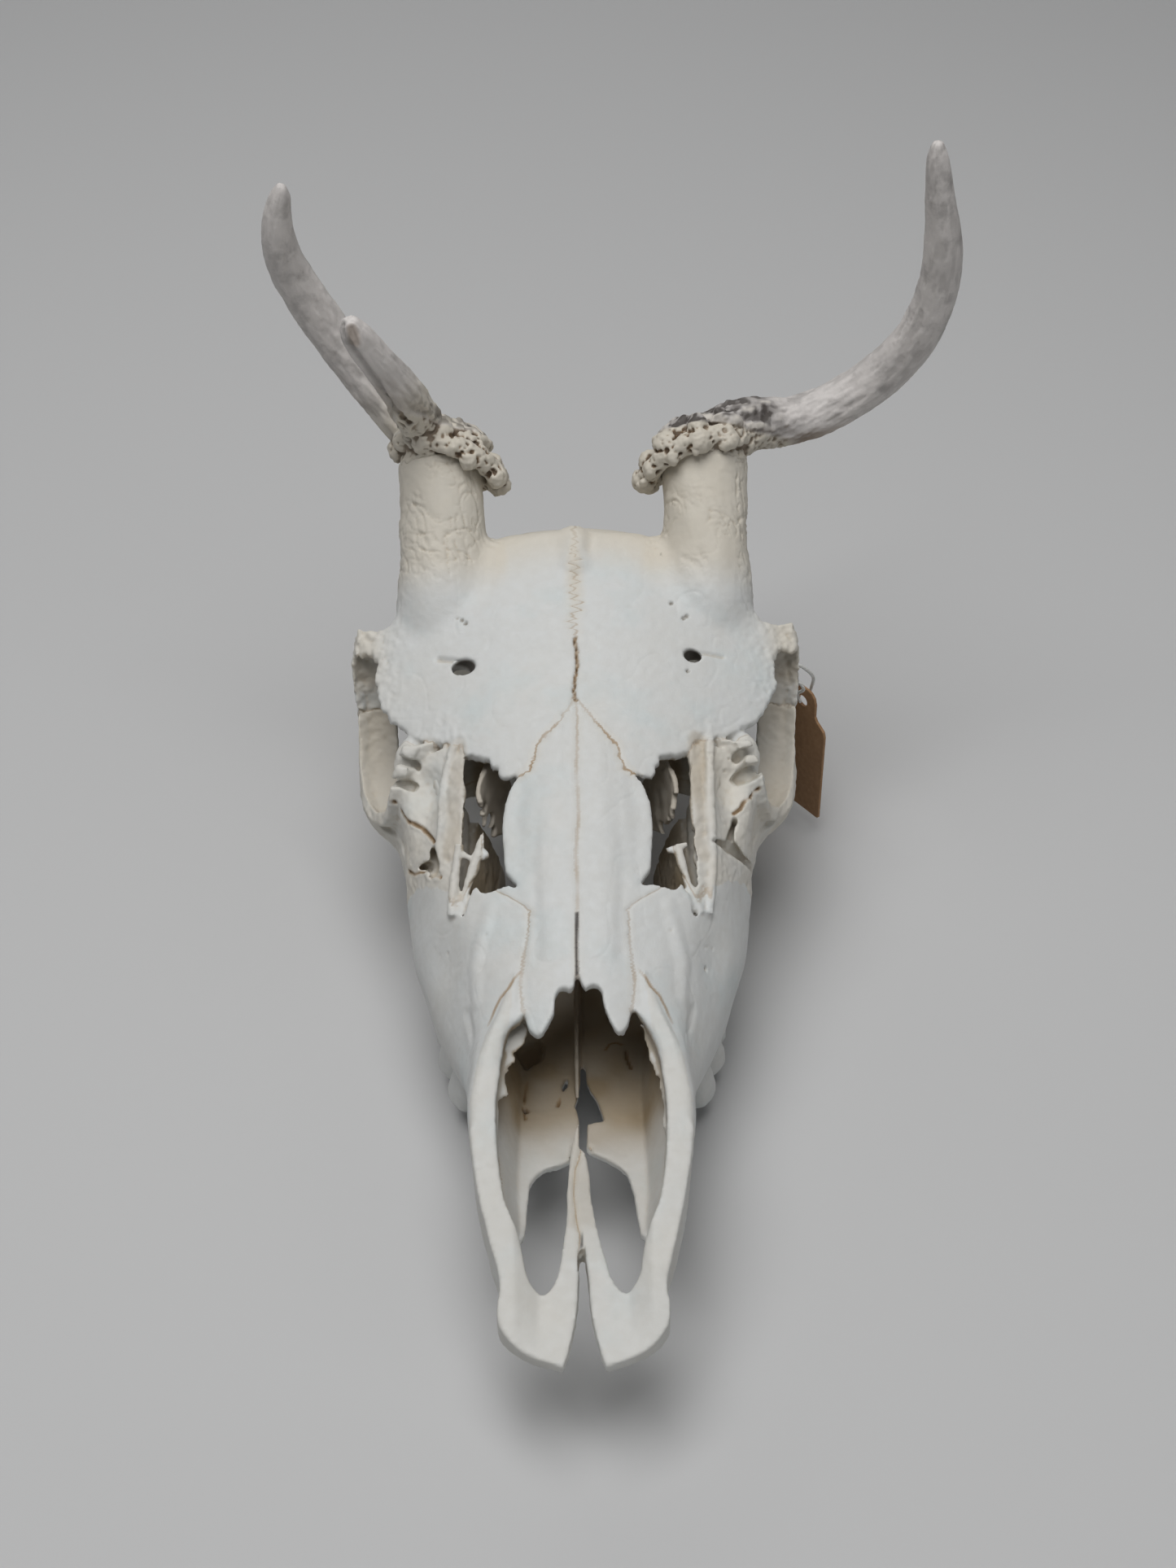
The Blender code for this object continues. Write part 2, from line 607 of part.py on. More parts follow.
def braincase():
    """Brain case with the hind part of the arches, the condyles and the jugular processes."""
    rings = []
    for y in (152, 160, 170, 180, 188, 196, 205, 213, 221, 229, 237, 244, 250, 256):
        half, low, high = graded(BRAINCASE, y)
        middle = (low + high) / 2 - 4
        ring = []
        for turn in range(16):
            angle = 2 * math.pi * (turn + 0.5) / 16
            reach = high - middle if math.sin(angle) > 0 else middle - low
            x = half * math.copysign(abs(math.cos(angle)) ** 0.8, math.cos(angle))
            z = middle + reach * math.copysign(abs(math.sin(angle)) ** 0.85, math.sin(angle))
            ring.append((x, y, z))
        rings.append(ring)
    pieces = [loft(rings, "case")]
    crest = [(-35, 237, 36), (-30, 243, 47), (-18, 251, 53.5), (0, 255.5, 54.5), (18, 251, 53.5), (30, 243, 47),
             (35, 237, 36)]
    pieces.append(rod(crest, (3, 3.4, 3.2, 3.2, 3.2, 3.4, 3), 6, 13))
    for side in SIDES.values():
        condyle = blob((side * 11.5, 250, 24), (7.5, 9.5, 7.5), 10, 20)
        bulla = blob((side * 19, 210, 18.5), (6.5, 10.5, 7.5), 8)
        mastoid = [(30, 236, 38), (33, 238, 30), (29, 235, 22), (25, 229.5, 12), (23, 226.5, 1.9)]
        process = rod(mirrored(mastoid, side), (4, 5, 4.6, 3.6, 2.6), 8, 8, 0.6, (0, 1, 0))
        foot = prism(mirrored([(21.5, 224.5), (24.5, 224.5), (24.5, 228), (21.5, 228)], side), 0, 3)
        arch_line = [(33, 213, 46), (43, 211, 44.5), (50, 204.5, 43.5), (52, 195, 43.2), (52.2, 186.5, 43)]
        arch = rod(mirrored(arch_line, side), (5.5, 4.6, 3.8, 3.4, 3.2), 8, 9, 0.6)
        socket = blob((side * 41, 208, 40), (8.5, 6.5, 4.5), 8)
        pieces += [condyle, bulla, process, foot, arch, socket]
    whole = fuse(pieces, "braincase")
    foramen = rod([(0, 262, 32), (0, 250, 33), (0, 241, 35)], (9.5, 9.0, 7.5), 12, 4)
    return combine(whole, [foramen], "DIFFERENCE")


def palatine():
    """Back of the hard palate and the walls beside the choanae."""
    plate_outline = [(-20.2, 124.3), (20.2, 124.3), (20.2, 143), (14, 144.5), (9, 140), (0, 134.5),
                     (-9, 140), (-14, 144.5), (-20.2, 143)]
    pieces = [prism(plate_outline, 17.2, 19.6)]
    for side in SIDES.values():
        foot = [(13.5, 132, 18.5), (13, 142, 17), (11.5, 155, 14.5), (10, 168, 13), (9, 180, 14.5), (9, 190, 20)]
        head = [(17.5, 132, 22), (17, 142, 27), (15, 155, 34), (13, 168, 34), (11.5, 180, 31), (11, 190, 28)]
        rows = [np.array(foot) * (1 - t) + np.array(head) * t for t in np.linspace(0, 1, 4)]
        rows = [spline(row, 9) for row in rows]
        pieces.append(sheet([mirrored(row, side) for row in rows], 1.8 * side))
    return fuse(pieces, "palatine")


def vomer():
    """The thin keel that stands on the floor of the nose."""
    outline = [(76, 24.4), (90, 23.0), (110, 21.4), (130, 20.4), (150, 27), (151.5, 52), (140, 44), (120, 33),
               (100, 29.5), (84, 28.2)]
    bm = bmesh.new()
    for x in (-1.6, -0.6):
        bm.faces.new([bm.verts.new((x, y, z)) for y, z in outline])
    bm.verts.ensure_lookup_table()
    count = len(outline)
    for i in range(count):
        j = (i + 1) % count
        bm.faces.new([bm.verts[k] for k in (i, j, count + j, count + i)])
    bm.normal_update()
    bmesh.ops.triangulate(bm, faces=bm.faces)
    return solid("vomer", bm)


def ethmoid(side):
    """A torn leaf of the ethmoid that shows through the gap beside the nasal."""
    rows = []
    for share in np.linspace(0, 1, 5):
        front = [(14 + 5 * share, 151.4, 46 + 22 * share), (17 + 5 * share, 145, 47 + 20 * share),
                 (20 + 3.5 * share, 139, 50 + 16 * share), (22.5, 135, 54 + 10 * share)]
        rows.append(spline(mirrored(front, side), 6))
    return sheet(rows, 1.2 * side)


def burr(side, seed):
    """The ring of pearls at an antler's foot."""
    draw = random.Random(seed)
    pieces = []
    pearls = 12
    for row, (rise, reach) in enumerate(((1.0, 1.0), (4.6, 0.8))):
        for i in range(pearls - 3 * row):
            turn = 2 * math.pi * (i + 0.5 * row) / (pearls - 3 * row)
            inner = math.cos(turn)
            out = BURR_RADIUS * reach * -inner - 3.0
            near = BURR_RADIUS * reach * math.sin(turn)
            along = PEDICLE_LENGTH + rise - (3.6 + 2.0 * max(inner, 0)) * inner + draw.uniform(-0.6, 0.6)
            size = PEARL_RADIUS * draw.uniform(0.85, 1.25)
            pieces.append(blob(pedicle_point(side, along, out, near), (size, size, size), 6))
    return pieces


def burr_core(side):
    """The foot of the beam inside the ring of pearls, with a flat face to the pedicle."""
    stations = ((GAP, 11.0), (1.6, 13.4), (4.5, 11.5), (9, 8.0))
    axis = [pedicle_point(side, PEDICLE_LENGTH + along, -2.0 + 0.25 * along) for along, _ in stations]
    return rod(axis, [radius for _, radius in stations], 14, 6)


def antler_left():
    """The long beam, without a tine, that sweeps out and then up."""
    line = [pedicle_point(1, PEDICLE_LENGTH + 3), (44.5, 230, 109.4), (58, 236.5, 106.6), (70, 239.5, 109.8),
            (80.5, 239.5, 118.4), (88.5, 237.5, 130.6), (92, 235, 145.6), (91.8, 233, 159), (89.5, 231.5, 172.5),
            (88, 231, 182.5), (87.7, 231, 187)]
    beam = rod(line, (8.5, 7.2, 6.3, 6.2, 6.0, 5.6, 5.2, 4.7, 3.6, 2.6, 1.4), 10, 26)
    return fuse([burr_core(1), beam, *burr(1, 11)], "antler_left_beam")


def antler_right():
    """The beam that leans back and out, and the tine that stands before it."""
    line = [pedicle_point(-1, PEDICLE_LENGTH + 3), (-41.5, 229, 111.5), (-51, 233, 121), (-59.0, 235, 132.5),
            (-65.5, 234.5, 145.4), (-69.8, 232.5, 157), (-70.4, 230.5, 167.6), (-68.8, 229.5, 176),
            (-68.0, 229, 179.5)]
    beam = rod(line, (8.5, 6.6, 5.8, 5.4, 5.4, 4.8, 3.8, 2.6, 1.2), 10, 22)
    whole = fuse([burr_core(-1), beam, *burr(-1, 7)], "antler_right_beam")
    tine_line = [(-38.5, 219.5, 119), (-41.8, 213, 131.5), (-46.2, 208.5, 142), (-50.6, 205.5, 151.5), (-52.4, 204, 157)]
    tine = rod(tine_line, (5.6, 5.2, 4.4, 3.8, 2.2), 10, 12)
    return whole, clear_of(tine, [whole])


def on_tag(across, up, out):
    """A point of the hanging card: across and up it, and out from its face."""
    x, y, z = TAG_PLACE
    cos, sin = math.cos(TAG_TURN), math.sin(TAG_TURN)
    return (x + cos * across + sin * out, y + sin * across - cos * out, z + up)


def label_tag():
    """A bare card with a narrower head, hanging on its string behind the left orbit."""
    width, height, thickness = TAG_SIZE
    half, neck, corner = width / 2, width / 2 - 4.2, 2.6
    right = [(half, 0), (half, TAG_SHOULDER), (neck, TAG_SHOULDER + 2.5), (neck, height - corner),
             (neck - corner, height)]
    left = [(-across, up) for across, up in reversed(right)]
    faces = [[on_tag(across, up, out) for across, up in right + left] for out in (0, thickness)]
    card = loft(faces, "label_tag")
    up = height - TAG_HOLE_DROP
    hole = rod([on_tag(0, up, -2), on_tag(0, up, 3)], (1.7, 1.7), 9, 2)
    return combine(card, [hole], "DIFFERENCE", "EXACT")


def label_string():
    """The string: from the card's back up and round the cheek arch, and up again to its front."""
    up = TAG_SIZE[1] - TAG_HOLE_DROP
    gap = STRING_RADIUS + GAP
    behind = TAG_SIZE[2] + gap
    line = [on_tag(0, up, behind), on_tag(-0.6, up + 4, behind + 0.8), (62.7, 194.6, 53.4), (60.8, 191.6, 58.2),
            (57.4, 190.0, 61.6), (52.0, 190.0, 60.5), (48.4, 191.0, 54.5), (47.6, 191.6, 45.5),
            (49.2, 191.6, 39.2), (53.4, 191.6, 37.6), (57.4, 191.0, 41.5), (57.2, 190.0, 49.0),
            (57.0, 189.0, 55.0), (58.0, 188.6, 57.0), (59.6, 189.2, 54.0),
            on_tag(0.4, up + 3, -gap - 0.8), on_tag(0, up, -gap)]
    return rod(line, (STRING_RADIUS,) * len(line), 6, 42, 1.0, (0.3, 0.2, 1))


def finish(thing, name, look, root, collection):
    """Names a node, gives it its material and puts it under the root."""
    thin_out(thing.data)
    thing.name = name
    thing.data.name = name
    colour = MATERIALS[look]
    material = bpy.data.materials.get(look) or bpy.data.materials.new(look)
    material.use_nodes = True
    surface = material.node_tree.nodes["Principled BSDF"]
    surface.inputs["Base Color"].default_value = (*colour, 1)
    surface.inputs["Roughness"].default_value = 0.6
    surface.inputs["Metallic"].default_value = 0.0
    thing.data.materials.clear()
    thing.data.materials.append(material)
    for old in list(thing.users_collection):
        old.objects.unlink(thing)
    collection.objects.link(thing)
    thing.parent = root


def build_skull():
    """All the nodes, each cut clear of those made before it: name to (object, look)."""
    made = {}
    for word, side in SIDES.items():
        made[f"nasal_{word}"] = nasal(side)
        made[f"frontal_{word}"] = clear_of(frontal(side), [made[f"nasal_{word}"]])
        made[f"premaxilla_{word}"] = clear_of(premaxilla(side), [made[f"nasal_{word}"]])
    case = clear_of(braincase(), [made["frontal_right"], made["frontal_left"]])
    made["braincase"] = case
    for word, side in SIDES.items():
        before = [made[f"{bone}_{word}"] for bone in ("nasal", "frontal", "premaxilla")]
        face = clear_of(face_side(side), [*before, case])
        places = {
            f"maxilla_{word}": (side * 36, 100, 30),
            f"lacrimal_{word}": (side * 36, 137, 61),
            f"zygomatic_{word}": (side * 53, 165, 40),
        }
        made.update(part_with(face, face_sutures(side), places))
    made["palatine"] = clear_of(palatine(), [case, made["maxilla_left"], made["maxilla_right"]])
    made["vomer"] = clear_of(vomer(), [case, made["maxilla_left"], made["maxilla_right"], made["palatine"]])
    for word, side in SIDES.items():
        neighbours = [case, made[f"frontal_{word}"], made[f"nasal_{word}"], made[f"lacrimal_{word}"]]
        made[f"ethmoid_{word}"] = clear_of(ethmoid(side), neighbours)
    made["antler_left_beam"] = clear_of(antler_left(), [made["frontal_left"]])
    beam, tine = antler_right()
    made["antler_right_beam"] = clear_of(beam, [made["frontal_right"]])
    made["antler_right_brow_tine"] = tine
    made["label_tag"] = label_tag()
    made["label_string"] = clear_of(label_string(), [made["frontal_left"], made["zygomatic_left"]])
    return made


def main():
    clear_scene()
    made = build_skull()
    root = bpy.data.objects.new("fallow_deer_skull", None)
    bpy.context.scene.collection.objects.link(root)
    collection = bpy.data.collections.new("fallow_deer_skull")
    bpy.context.scene.collection.children.link(collection)
    for name, thing in made.items():
        look = name if name in MATERIALS else name.split("_")[0]
        finish(thing, name, look, root, collection)
    corners = np.array([vert.co for thing in made.values() for vert in thing.data.vertices])
    middle = (corners.min(axis=0) + corners.max(axis=0)) / 2
    root.location = (-middle[0], -middle[1], 0)


main()
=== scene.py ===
"""Dresses the packed fallow deer skull as dry, cleaned bone on a pale table.

Each bone is drawn again from the same sizes as the packed solids, with grown and broken edges, and
is then covered with a fine skin that takes pits, grooves, wrinkles and stains. Sizes are in
millimetres, in the frame of the bones: X = 0 is the skull's midline, Y = 0 is just before the nose
and Z = 0 is the table. Clay.part() and dress() move a finished piece into the packed frame.
"""

import math
import random

import bmesh
import bpy
import numpy as np
from bpy.props import FloatProperty, FloatVectorProperty, IntProperty, PointerProperty
from mathutils import Matrix, Vector
from mathutils.kdtree import KDTree


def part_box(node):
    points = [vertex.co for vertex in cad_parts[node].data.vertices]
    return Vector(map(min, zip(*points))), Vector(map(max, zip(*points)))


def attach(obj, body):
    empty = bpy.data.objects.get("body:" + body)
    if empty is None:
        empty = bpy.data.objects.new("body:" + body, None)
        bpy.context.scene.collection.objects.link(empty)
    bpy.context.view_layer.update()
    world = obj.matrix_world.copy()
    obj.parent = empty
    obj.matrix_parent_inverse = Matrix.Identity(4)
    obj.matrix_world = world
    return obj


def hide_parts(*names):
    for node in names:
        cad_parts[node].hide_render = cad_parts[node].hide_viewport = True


bl_info = {
    "name": "Fallow Deer Skull",
    "version": (1, 0, 0),
    "blender": (4, 5, 0),
    "location": "View3D > Sidebar > Skull",
    "description": "Builds a museum-like fallow deer skull with antlers, card tag and table",
    "category": "Add Mesh",
}

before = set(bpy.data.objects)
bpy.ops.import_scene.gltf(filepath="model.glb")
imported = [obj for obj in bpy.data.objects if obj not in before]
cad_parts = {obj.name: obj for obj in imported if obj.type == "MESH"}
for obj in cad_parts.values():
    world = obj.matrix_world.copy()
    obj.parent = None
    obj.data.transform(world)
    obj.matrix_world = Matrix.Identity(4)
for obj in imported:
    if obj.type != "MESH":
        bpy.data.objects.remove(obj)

MM = 0.001
GAP = 0.3
SIDES = {"right": -1, "left": 1}

# The keel's lowest corner in the bones' frame, which tells where the packed frame lies
KEEL_CORNER = (-1.6, 76.0)
ORIGIN = np.array([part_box("vomer")[0][axis] * 1000 - KEEL_CORNER[axis] for axis in (0, 1)] + [0.0])

# The camera that took the photograph, in the same frame
CAMERA_PLACE = (2.6, -252.0, 419.0)
CAMERA_DOWN = math.radians(42.0)
CAMERA_ROLL = math.radians(-0.9)

PEDICLE_SLOPE = math.radians(42)
PEDICLE_FOOT = (33.5, 196.0, 82.0)
PEDICLE_LENGTH = 34.0
BURR_RADIUS = 13.0

# The card: its width, height and thickness, its shoulders and hole, and how it hangs
TAG_SIZE = (18.0, 41.5, 0.8)
TAG_SHOULDER = 31.0
TAG_HOLE_UP = TAG_SIZE[1] - 4.6
TAG_HOLE_RADIUS = 1.7
TAG_PLACE = (60.6, 197.1, 6.6)
TAG_TURN = math.radians(128)
STRING_RADIUS = 0.5

# Colours of stain and painted shade for the bones and the antlers, and of the card's and the string's fibres
BONE_STAIN = (0.13, 0.08, 0.035, 1.0)
# Painted shade: near-black laid into the bones' pits, holes, slits and cracks
BONE_SHADE = (0.028, 0.022, 0.018, 1.0)
# Partly stain, partly painted shade: it also darkens the antlers' undersides near their feet
ANTLER_STAIN_AND_SHADE = (0.20, 0.12, 0.055, 1.0)
CARD_COLOURS = ((0.30, 0.17, 0.085, 1.0), (0.38, 0.225, 0.12, 1.0))
STRING_COLOURS = ((0.62, 0.61, 0.58, 1.0), (0.78, 0.78, 0.76, 1.0))

# Midline of the skull's roof, from the aperture to behind the crest: y, z, drop per x squared
ROOF = (
    (60, 51.0, 0.0200),
    (70, 54.5, 0.0190),
    (110, 66.5, 0.0120),
    (130, 72.6, 0.0105),
    (153, 79.4, 0.0065),
    (185, 90.0, 0.0050),
    (197, 93.4, 0.0044),
    (204, 94.6, 0.0048),
    (212, 89.5, 0.0048),
    (222, 81.0, 0.0050),
)

# Outer wall of one side of the face: y, then x and z at the top edge, shoulder, ridge, flank,
# widest line, cheek and alveolar edge
FACE = (
    (34, 16.5, 39.5, 18.5, 40.0, 21.3, 39.2, 21.5, 36.0, 21.0, 32.0, 19.0, 28.5, 16.5, 26.0),
    (46, 18.3, 43.5, 21.0, 44.0, 23.9, 43.0, 24.0, 39.0, 23.6, 34.0, 21.5, 29.0, 18.0, 25.0),
    (58, 18.6, 47.5, 21.5, 48.0, 24.6, 47.0, 25.2, 42.0, 25.2, 36.0, 23.0, 29.5, 19.0, 24.5),
    (68, 17.0, 51.0, 20.0, 51.0, 23.3, 49.5, 25.3, 43.0, 26.0, 36.0, 24.5, 29.0, 20.5, 23.5),
    (73.5, 15.9, 53.0, 18.6, 52.4, 22.8, 49.6, 25.5, 42.6, 27.0, 35.6, 25.9, 28.0, 22.5, 22.0),
    (77, 12.4, 54.4, 18.0, 53.0, 22.7, 49.5, 26.0, 42.0, 28.0, 35.0, 27.0, 27.0, 24.0, 21.0),
    (87, 10.8, 57.9, 18.0, 55.5, 23.9, 51.0, 28.6, 44.0, 31.8, 35.5, 31.2, 26.0, 28.2, 17.5),
    (95, 10.3, 60.4, 19.0, 57.5, 26.2, 53.0, 31.2, 45.0, 34.8, 36.0, 34.4, 26.0, 30.5, 16.5),
    (107, 11.5, 63.9, 21.0, 61.0, 28.9, 56.6, 35.0, 48.0, 39.0, 37.0, 38.0, 26.5, 32.5, 15.5),
    (119, 15.0, 66.6, 30.0, 61.5, 35.0, 56.5, 38.5, 48.0, 41.3, 36.0, 39.0, 27.0, 33.0, 15.5),
    (130, 17.5, 69.5, 30.3, 65.5, 35.5, 59.5, 40.3, 54.0, 42.6, 42.0, 40.5, 30.0, 34.0, 14.5),
    (140, 17.5, 72.0, 29.8, 68.5, 36.0, 62.0, 42.5, 60.0, 43.2, 46.0, 42.3, 34.0, 34.5, 14.0),
    (149.4, 22.0, 72.5, 29.5, 71.5, 38.0, 67.0, 44.0, 61.0, 47.8, 48.0, 44.2, 36.0, 34.0, 15.0),
)

# Inside of the face: y, wall at mid height, floor at its foot, height of the floor
CAVITY = (
    (34, 17.0, 13.4, 27.6),
    (46, 18.0, 14.5, 26.6),
    (58, 17.8, 14.5, 25.5),
    (77, 17.0, 14.0, 23.8),
    (95, 19.0, 15.0, 22.1),
    (119, 21.0, 17.0, 20.2),
    (150, 19.0, 17.0, 19.0),
)
NASAL_THICKNESS = 2.2
PALATE_THICKNESS = 2.4
PALATE_SUTURE_Y = 124.0

# Braincase: y, half width, height of its underside, height of its top
BRAINCASE = (
    (152, 14.0, 46.0, 71.0),
    (165, 16.0, 37.0, 76.0),
    (180, 19.0, 31.0, 82.0),
    (192, 27.0, 27.0, 88.0),
    (205, 35.0, 24.0, 92.0),
    (218, 37.0, 22.0, 86.0),
    (230, 36.5, 21.0, 76.0),
    (242, 33.0, 20.5, 65.0),
    (250, 27.0, 20.5, 57.0),
    (256, 17.0, 27.0, 50.5),
)

# Slits broken right through the face, along the line of sight: places on the bone and half widths
SLITS = {
    "right": (
        (((-34.9, 126.4, 59.7), (-34.5, 123.4, 58.4), (-34.3, 120.0, 57.6), (-34.6, 117.4, 56.6)),
         (0.3, 0.9, 1.2, 0.4)),
        (((-34.6, 121.0, 57.2), (-36.4, 122.6, 56.0), (-38.3, 124.3, 53.4)), (1.5, 1.1, 0.4)),
        (((-34.6, 118.4, 57.0), (-32.6, 118.2, 58.0), (-31.0, 118.8, 59.0)), (0.5, 0.4, 0.2)),
    ),
    "left": (
        (((31.8, 124.2, 61.9), (34.4, 125.2, 59.4), (36.6, 126.4, 57.0), (39.0, 127.2, 53.2),
          (41.4, 129.0, 48.6), (44.2, 131.0, 43.4)), (0.4, 0.9, 1.6, 1.1, 0.7, 1.0)),
        (((38.0, 136.8, 59.6), (38.0, 134.0, 58.8), (37.2, 131.2, 58.4), (36.4, 127.6, 58.0)),
         (0.3, 0.6, 0.6, 1.0)),
    ),
}

# The left slit's open end, at the outline of the cheek
SLIT_END = (((40.6, 128.4, 50.4), (42.4, 129.8, 46.6), (45.0, 131.2, 43.0), (49.5, 133.0, 39.6)),
            (0.6, 0.8, 1.7, 3.0))

# Notches in the front rim of the orbit, where the tear ducts enter, cut in the same way
DUCTS = {
    "right": (
        (((-47.5, 147.0, 69.2), (-43.9, 147.6, 68.0), (-41.3, 147.7, 67.2), (-39.3, 147.8, 66.0),
          (-38.5, 147.0, 64.9)), (1.0, 1.2, 1.1, 1.2, 0.7)),
        (((-47.5, 144.2, 63.4), (-44.0, 144.6, 63.2), (-41.6, 144.6, 62.6), (-39.4, 143.8, 61.8)),
         (0.9, 1.1, 1.3, 1.0)),
    ),
    "left": (
        (((48.0, 148.5, 69.4), (44.5, 148.6, 68.8), (41.5, 148.8, 68.0), (39.5, 148.6, 66.8),
          (38.4, 147.4, 65.7)), (0.7, 0.9, 1.0, 1.3, 0.9)),
        (((47.0, 145.7, 66.2), (44.0, 145.4, 65.0), (41.8, 145.3, 63.7), (39.8, 145.0, 62.5),
          (38.4, 144.3, 61.7)), (0.8, 1.7, 1.9, 1.7, 0.9)),
    ),
}

# Splinters of thin bone that stand in the corner of the gap beside each nasal: line and radii
SPLINTERS = {
    "right": (
        (((-28.0, 121.3, 64.2), (-28.6, 117.2, 61.8), (-29.3, 112.3, 59.0), (-29.4, 106.0, 55.4)),
         (1.2, 1.1, 1.2, 1.6)),
        (((-28.0, 119.9, 63.4), (-26.0, 118.6, 62.6), (-23.7, 118.2, 62.3), (-21.2, 119.4, 62.9)),
         (0.9, 0.7, 0.9, 1.1)),
        (((-22.4, 124.2, 65.6), (-23.3, 120.4, 63.6), (-24.6, 116.1, 61.2), (-26.2, 111.7, 58.8),
          (-27.0, 106.0, 55.6)), (0.3, 1.1, 1.3, 1.0, 1.2)),
    ),
    "left": (
        (((23.2, 120.6, 63.6), (24.3, 116.7, 61.6), (25.3, 113.3, 59.6), (26.5, 110.0, 57.9),
          (28.6, 105.6, 55.4)), (1.3, 1.2, 1.0, 1.3, 1.3)),
        (((20.8, 119.3, 63.0), (22.6, 119.6, 63.2), (25.8, 120.6, 63.9)), (0.7, 1.0, 0.6)),
    ),
}

# Small holes through the thin floor of the nose
PALATE_HOLES = (
    (((-3.4, 84.8, 23), (-3.9, 82.0, 23), (-4.7, 79.2, 23)), (0.2, 0.6, 0.3)),
    (((-5.4, 76.6, 23), (-5.7, 75.4, 23), (-5.9, 74.2, 23)), (0.2, 0.5, 0.25)),
)

# Cracks in the nose's floor and at its rim: places, half width and depth
FLOOR_CRACKS = (
    ([(-12.9, 87.6, 20.8), (-12.9, 82.8, 22.9), (-13.4, 77.2, 23.7), (-13.6, 74.1, 23.7),
      (-13.1, 70.7, 24.3)], 0.6, 0.8),
    ([(-13.6, 74.1, 23.7), (-12.8, 73.2, 23.8)], 1.1, 1.6),
    ([(-4.3, 80.4, 22.8), (-5.0, 77.8, 23.3), (-5.6, 75.0, 23.9)], 0.6, 0.8),
    ([(10.6, 92.9, 22.3), (10.8, 90.3, 22.5), (11.8, 86.9, 22.8)], 0.6, 0.8),
    ([(5.8, 93.3, 22.3), (6.8, 95.3, 22.1), (8.4, 95.8, 22.0), (9.9, 95.0, 22.1)], 0.45, 0.3),
    ([(-12.4, 79.5, 50.0), (-13.4, 77.4, 49.4), (-14.6, 78.4, 50.0)], 0.5, 0.4),
    ([(0.1, 80, 21.5), (0.2, 100, 20.2), (0.1, 122, 19.4)], 1.1, 0.4),
)

# Outline of the spot where the nose's floor has flaked off, seen from above
FLOOR_BREAK = [(-15.4, 92.5), (-12.6, 96.4), (-9.9, 96.2), (-9.4, 92.3), (-9.9, 90.0), (-11.6, 88.6),
               (-12.9, 86.8), (-14.2, 89.6)]

# Small pits in the forehead, seen from above
FOREHEAD_PITS = ((-28.3, 181.2), (-27.4, 180.2), (-29.4, 181.9), (24.2, 184.2), (28.0, 181.3), (27.7, 166.2),
                 (27.2, 180.6))

# The upright bar before the orbit, and the free edge of the thin flange beside it
BARS = {
    "right": (
        ((-29.9, 149.3, 70.6), (-32.0, 140.9, 66.0), (-32.4, 131.4, 62.3), (-33.0, 120.8, 58.6)),
        ((-27.3, 148.5, 70.9), (-27.4, 135.0, 67.2), (-27.7, 126.6, 64.5), (-28.7, 121.0, 63.4)),
    ),
    "left": (
        ((32.5, 150.0, 70.8), (31.8, 139.0, 67.0), (31.7, 127.8, 63.6), (31.7, 119.6, 59.6),
         (30.4, 106.4, 54.0)),
        ((27.4, 149.0, 71.6), (27.4, 138.0, 67.6), (27.4, 128.3, 64.0), (27.7, 119.9, 61.2)),
    ),
}

# Ring of the orbit, from the forehead's corner down and forward to the tear ducts:
# y, z, inner and outer edge
ORBIT_BAND = (
    (186.0, 76.5, 48.5, 55.6),
    (184.8, 70.0, 48.0, 57.2),
    (182.6, 63.5, 47.6, 57.3),
    (179.6, 57.3, 47.0, 56.6),
    (173.8, 51.2, 46.3, 56.2),
    (165.5, 46.8, 45.8, 55.8),
    (157.5, 45.2, 45.2, 54.0),
    (150.5, 46.6, 44.2, 50.6),
    (146.4, 51.0, 43.4, 48.0),
    (144.8, 58.0, 42.6, 46.4),
    (147.2, 65.5, 41.2, 45.0),
    (151.5, 69.4, 38.5, 42.5),
)
ORBIT_MIDDLE = np.array([164.0, 61.0])

# Open sutures at the cheek bones
CRACKS = {
    "right": (
        ((-46.1, 143.5, 59.8), (-44.8, 142.6, 58.5), (-43.4, 140.5, 57.7), (-42.4, 138.4, 58.2),
         (-41.3, 135.9, 58.3), (-39.6, 134.5, 58.7), (-37.8, 133.1, 58.7), (-35.9, 130.1, 59.2),
         (-34.6, 126.4, 60.2)),
        ((-41.3, 128.3, 48.9), (-39.5, 125.2, 50.7), (-37.1, 122.5, 54.4), (-35.1, 119.8, 55.2),
         (-32.5, 116.4, 58.2)),
    ),
    "left": (
        ((45.6, 144.1, 61.8), (44.1, 143.0, 60.6), (42.4, 140.6, 60.3), (40.3, 138.2, 60.6),
         (39.6, 136.8, 60.0), (37.9, 135.5, 59.6)),
    ),
}

# Torn ledges of thin bone inside the nose's opening
LEDGES = {
    "right": ((-12.4, 80.0, 47.8), (-11.7, 75.6, 46.6), (-12.9, 73.8, 46.2), (-14.4, 72.6, 45.9),
              (-14.9, 70.2, 45.2), (-16.0, 68.2, 44.7), (-16.4, 65.6, 44.1), (-16.1, 63.4, 43.6),
              (-16.8, 61.6, 43.2), (-18.6, 60.6, 43.2), (-18.5, 50.0, 41.6), (-17.7, 40.0, 38.6),
              (-15.4, 32.0, 36.0)),
    "left": ((13.6, 76.6, 50.0), (14.7, 73.0, 48.4), (15.2, 69.5, 47.2), (16.1, 66.5, 46.2),
             (17.2, 63.5, 45.4), (17.7, 60.0, 44.4), (18.1, 54.0, 42.8), (17.9, 47.0, 40.8),
             (17.1, 40.0, 38.4), (15.2, 32.0, 36.0)),
}

PAIRED_BONES = ("nasal", "frontal", "premaxilla", "maxilla", "lacrimal", "zygomatic")
SKIN_NODES = (*(f"{bone}_{word}" for bone in PAIRED_BONES for word in SIDES), "braincase", "palatine")

# The skin, which one operator makes and the next ones shape
work = {}


# Sizes and colours that a user may change


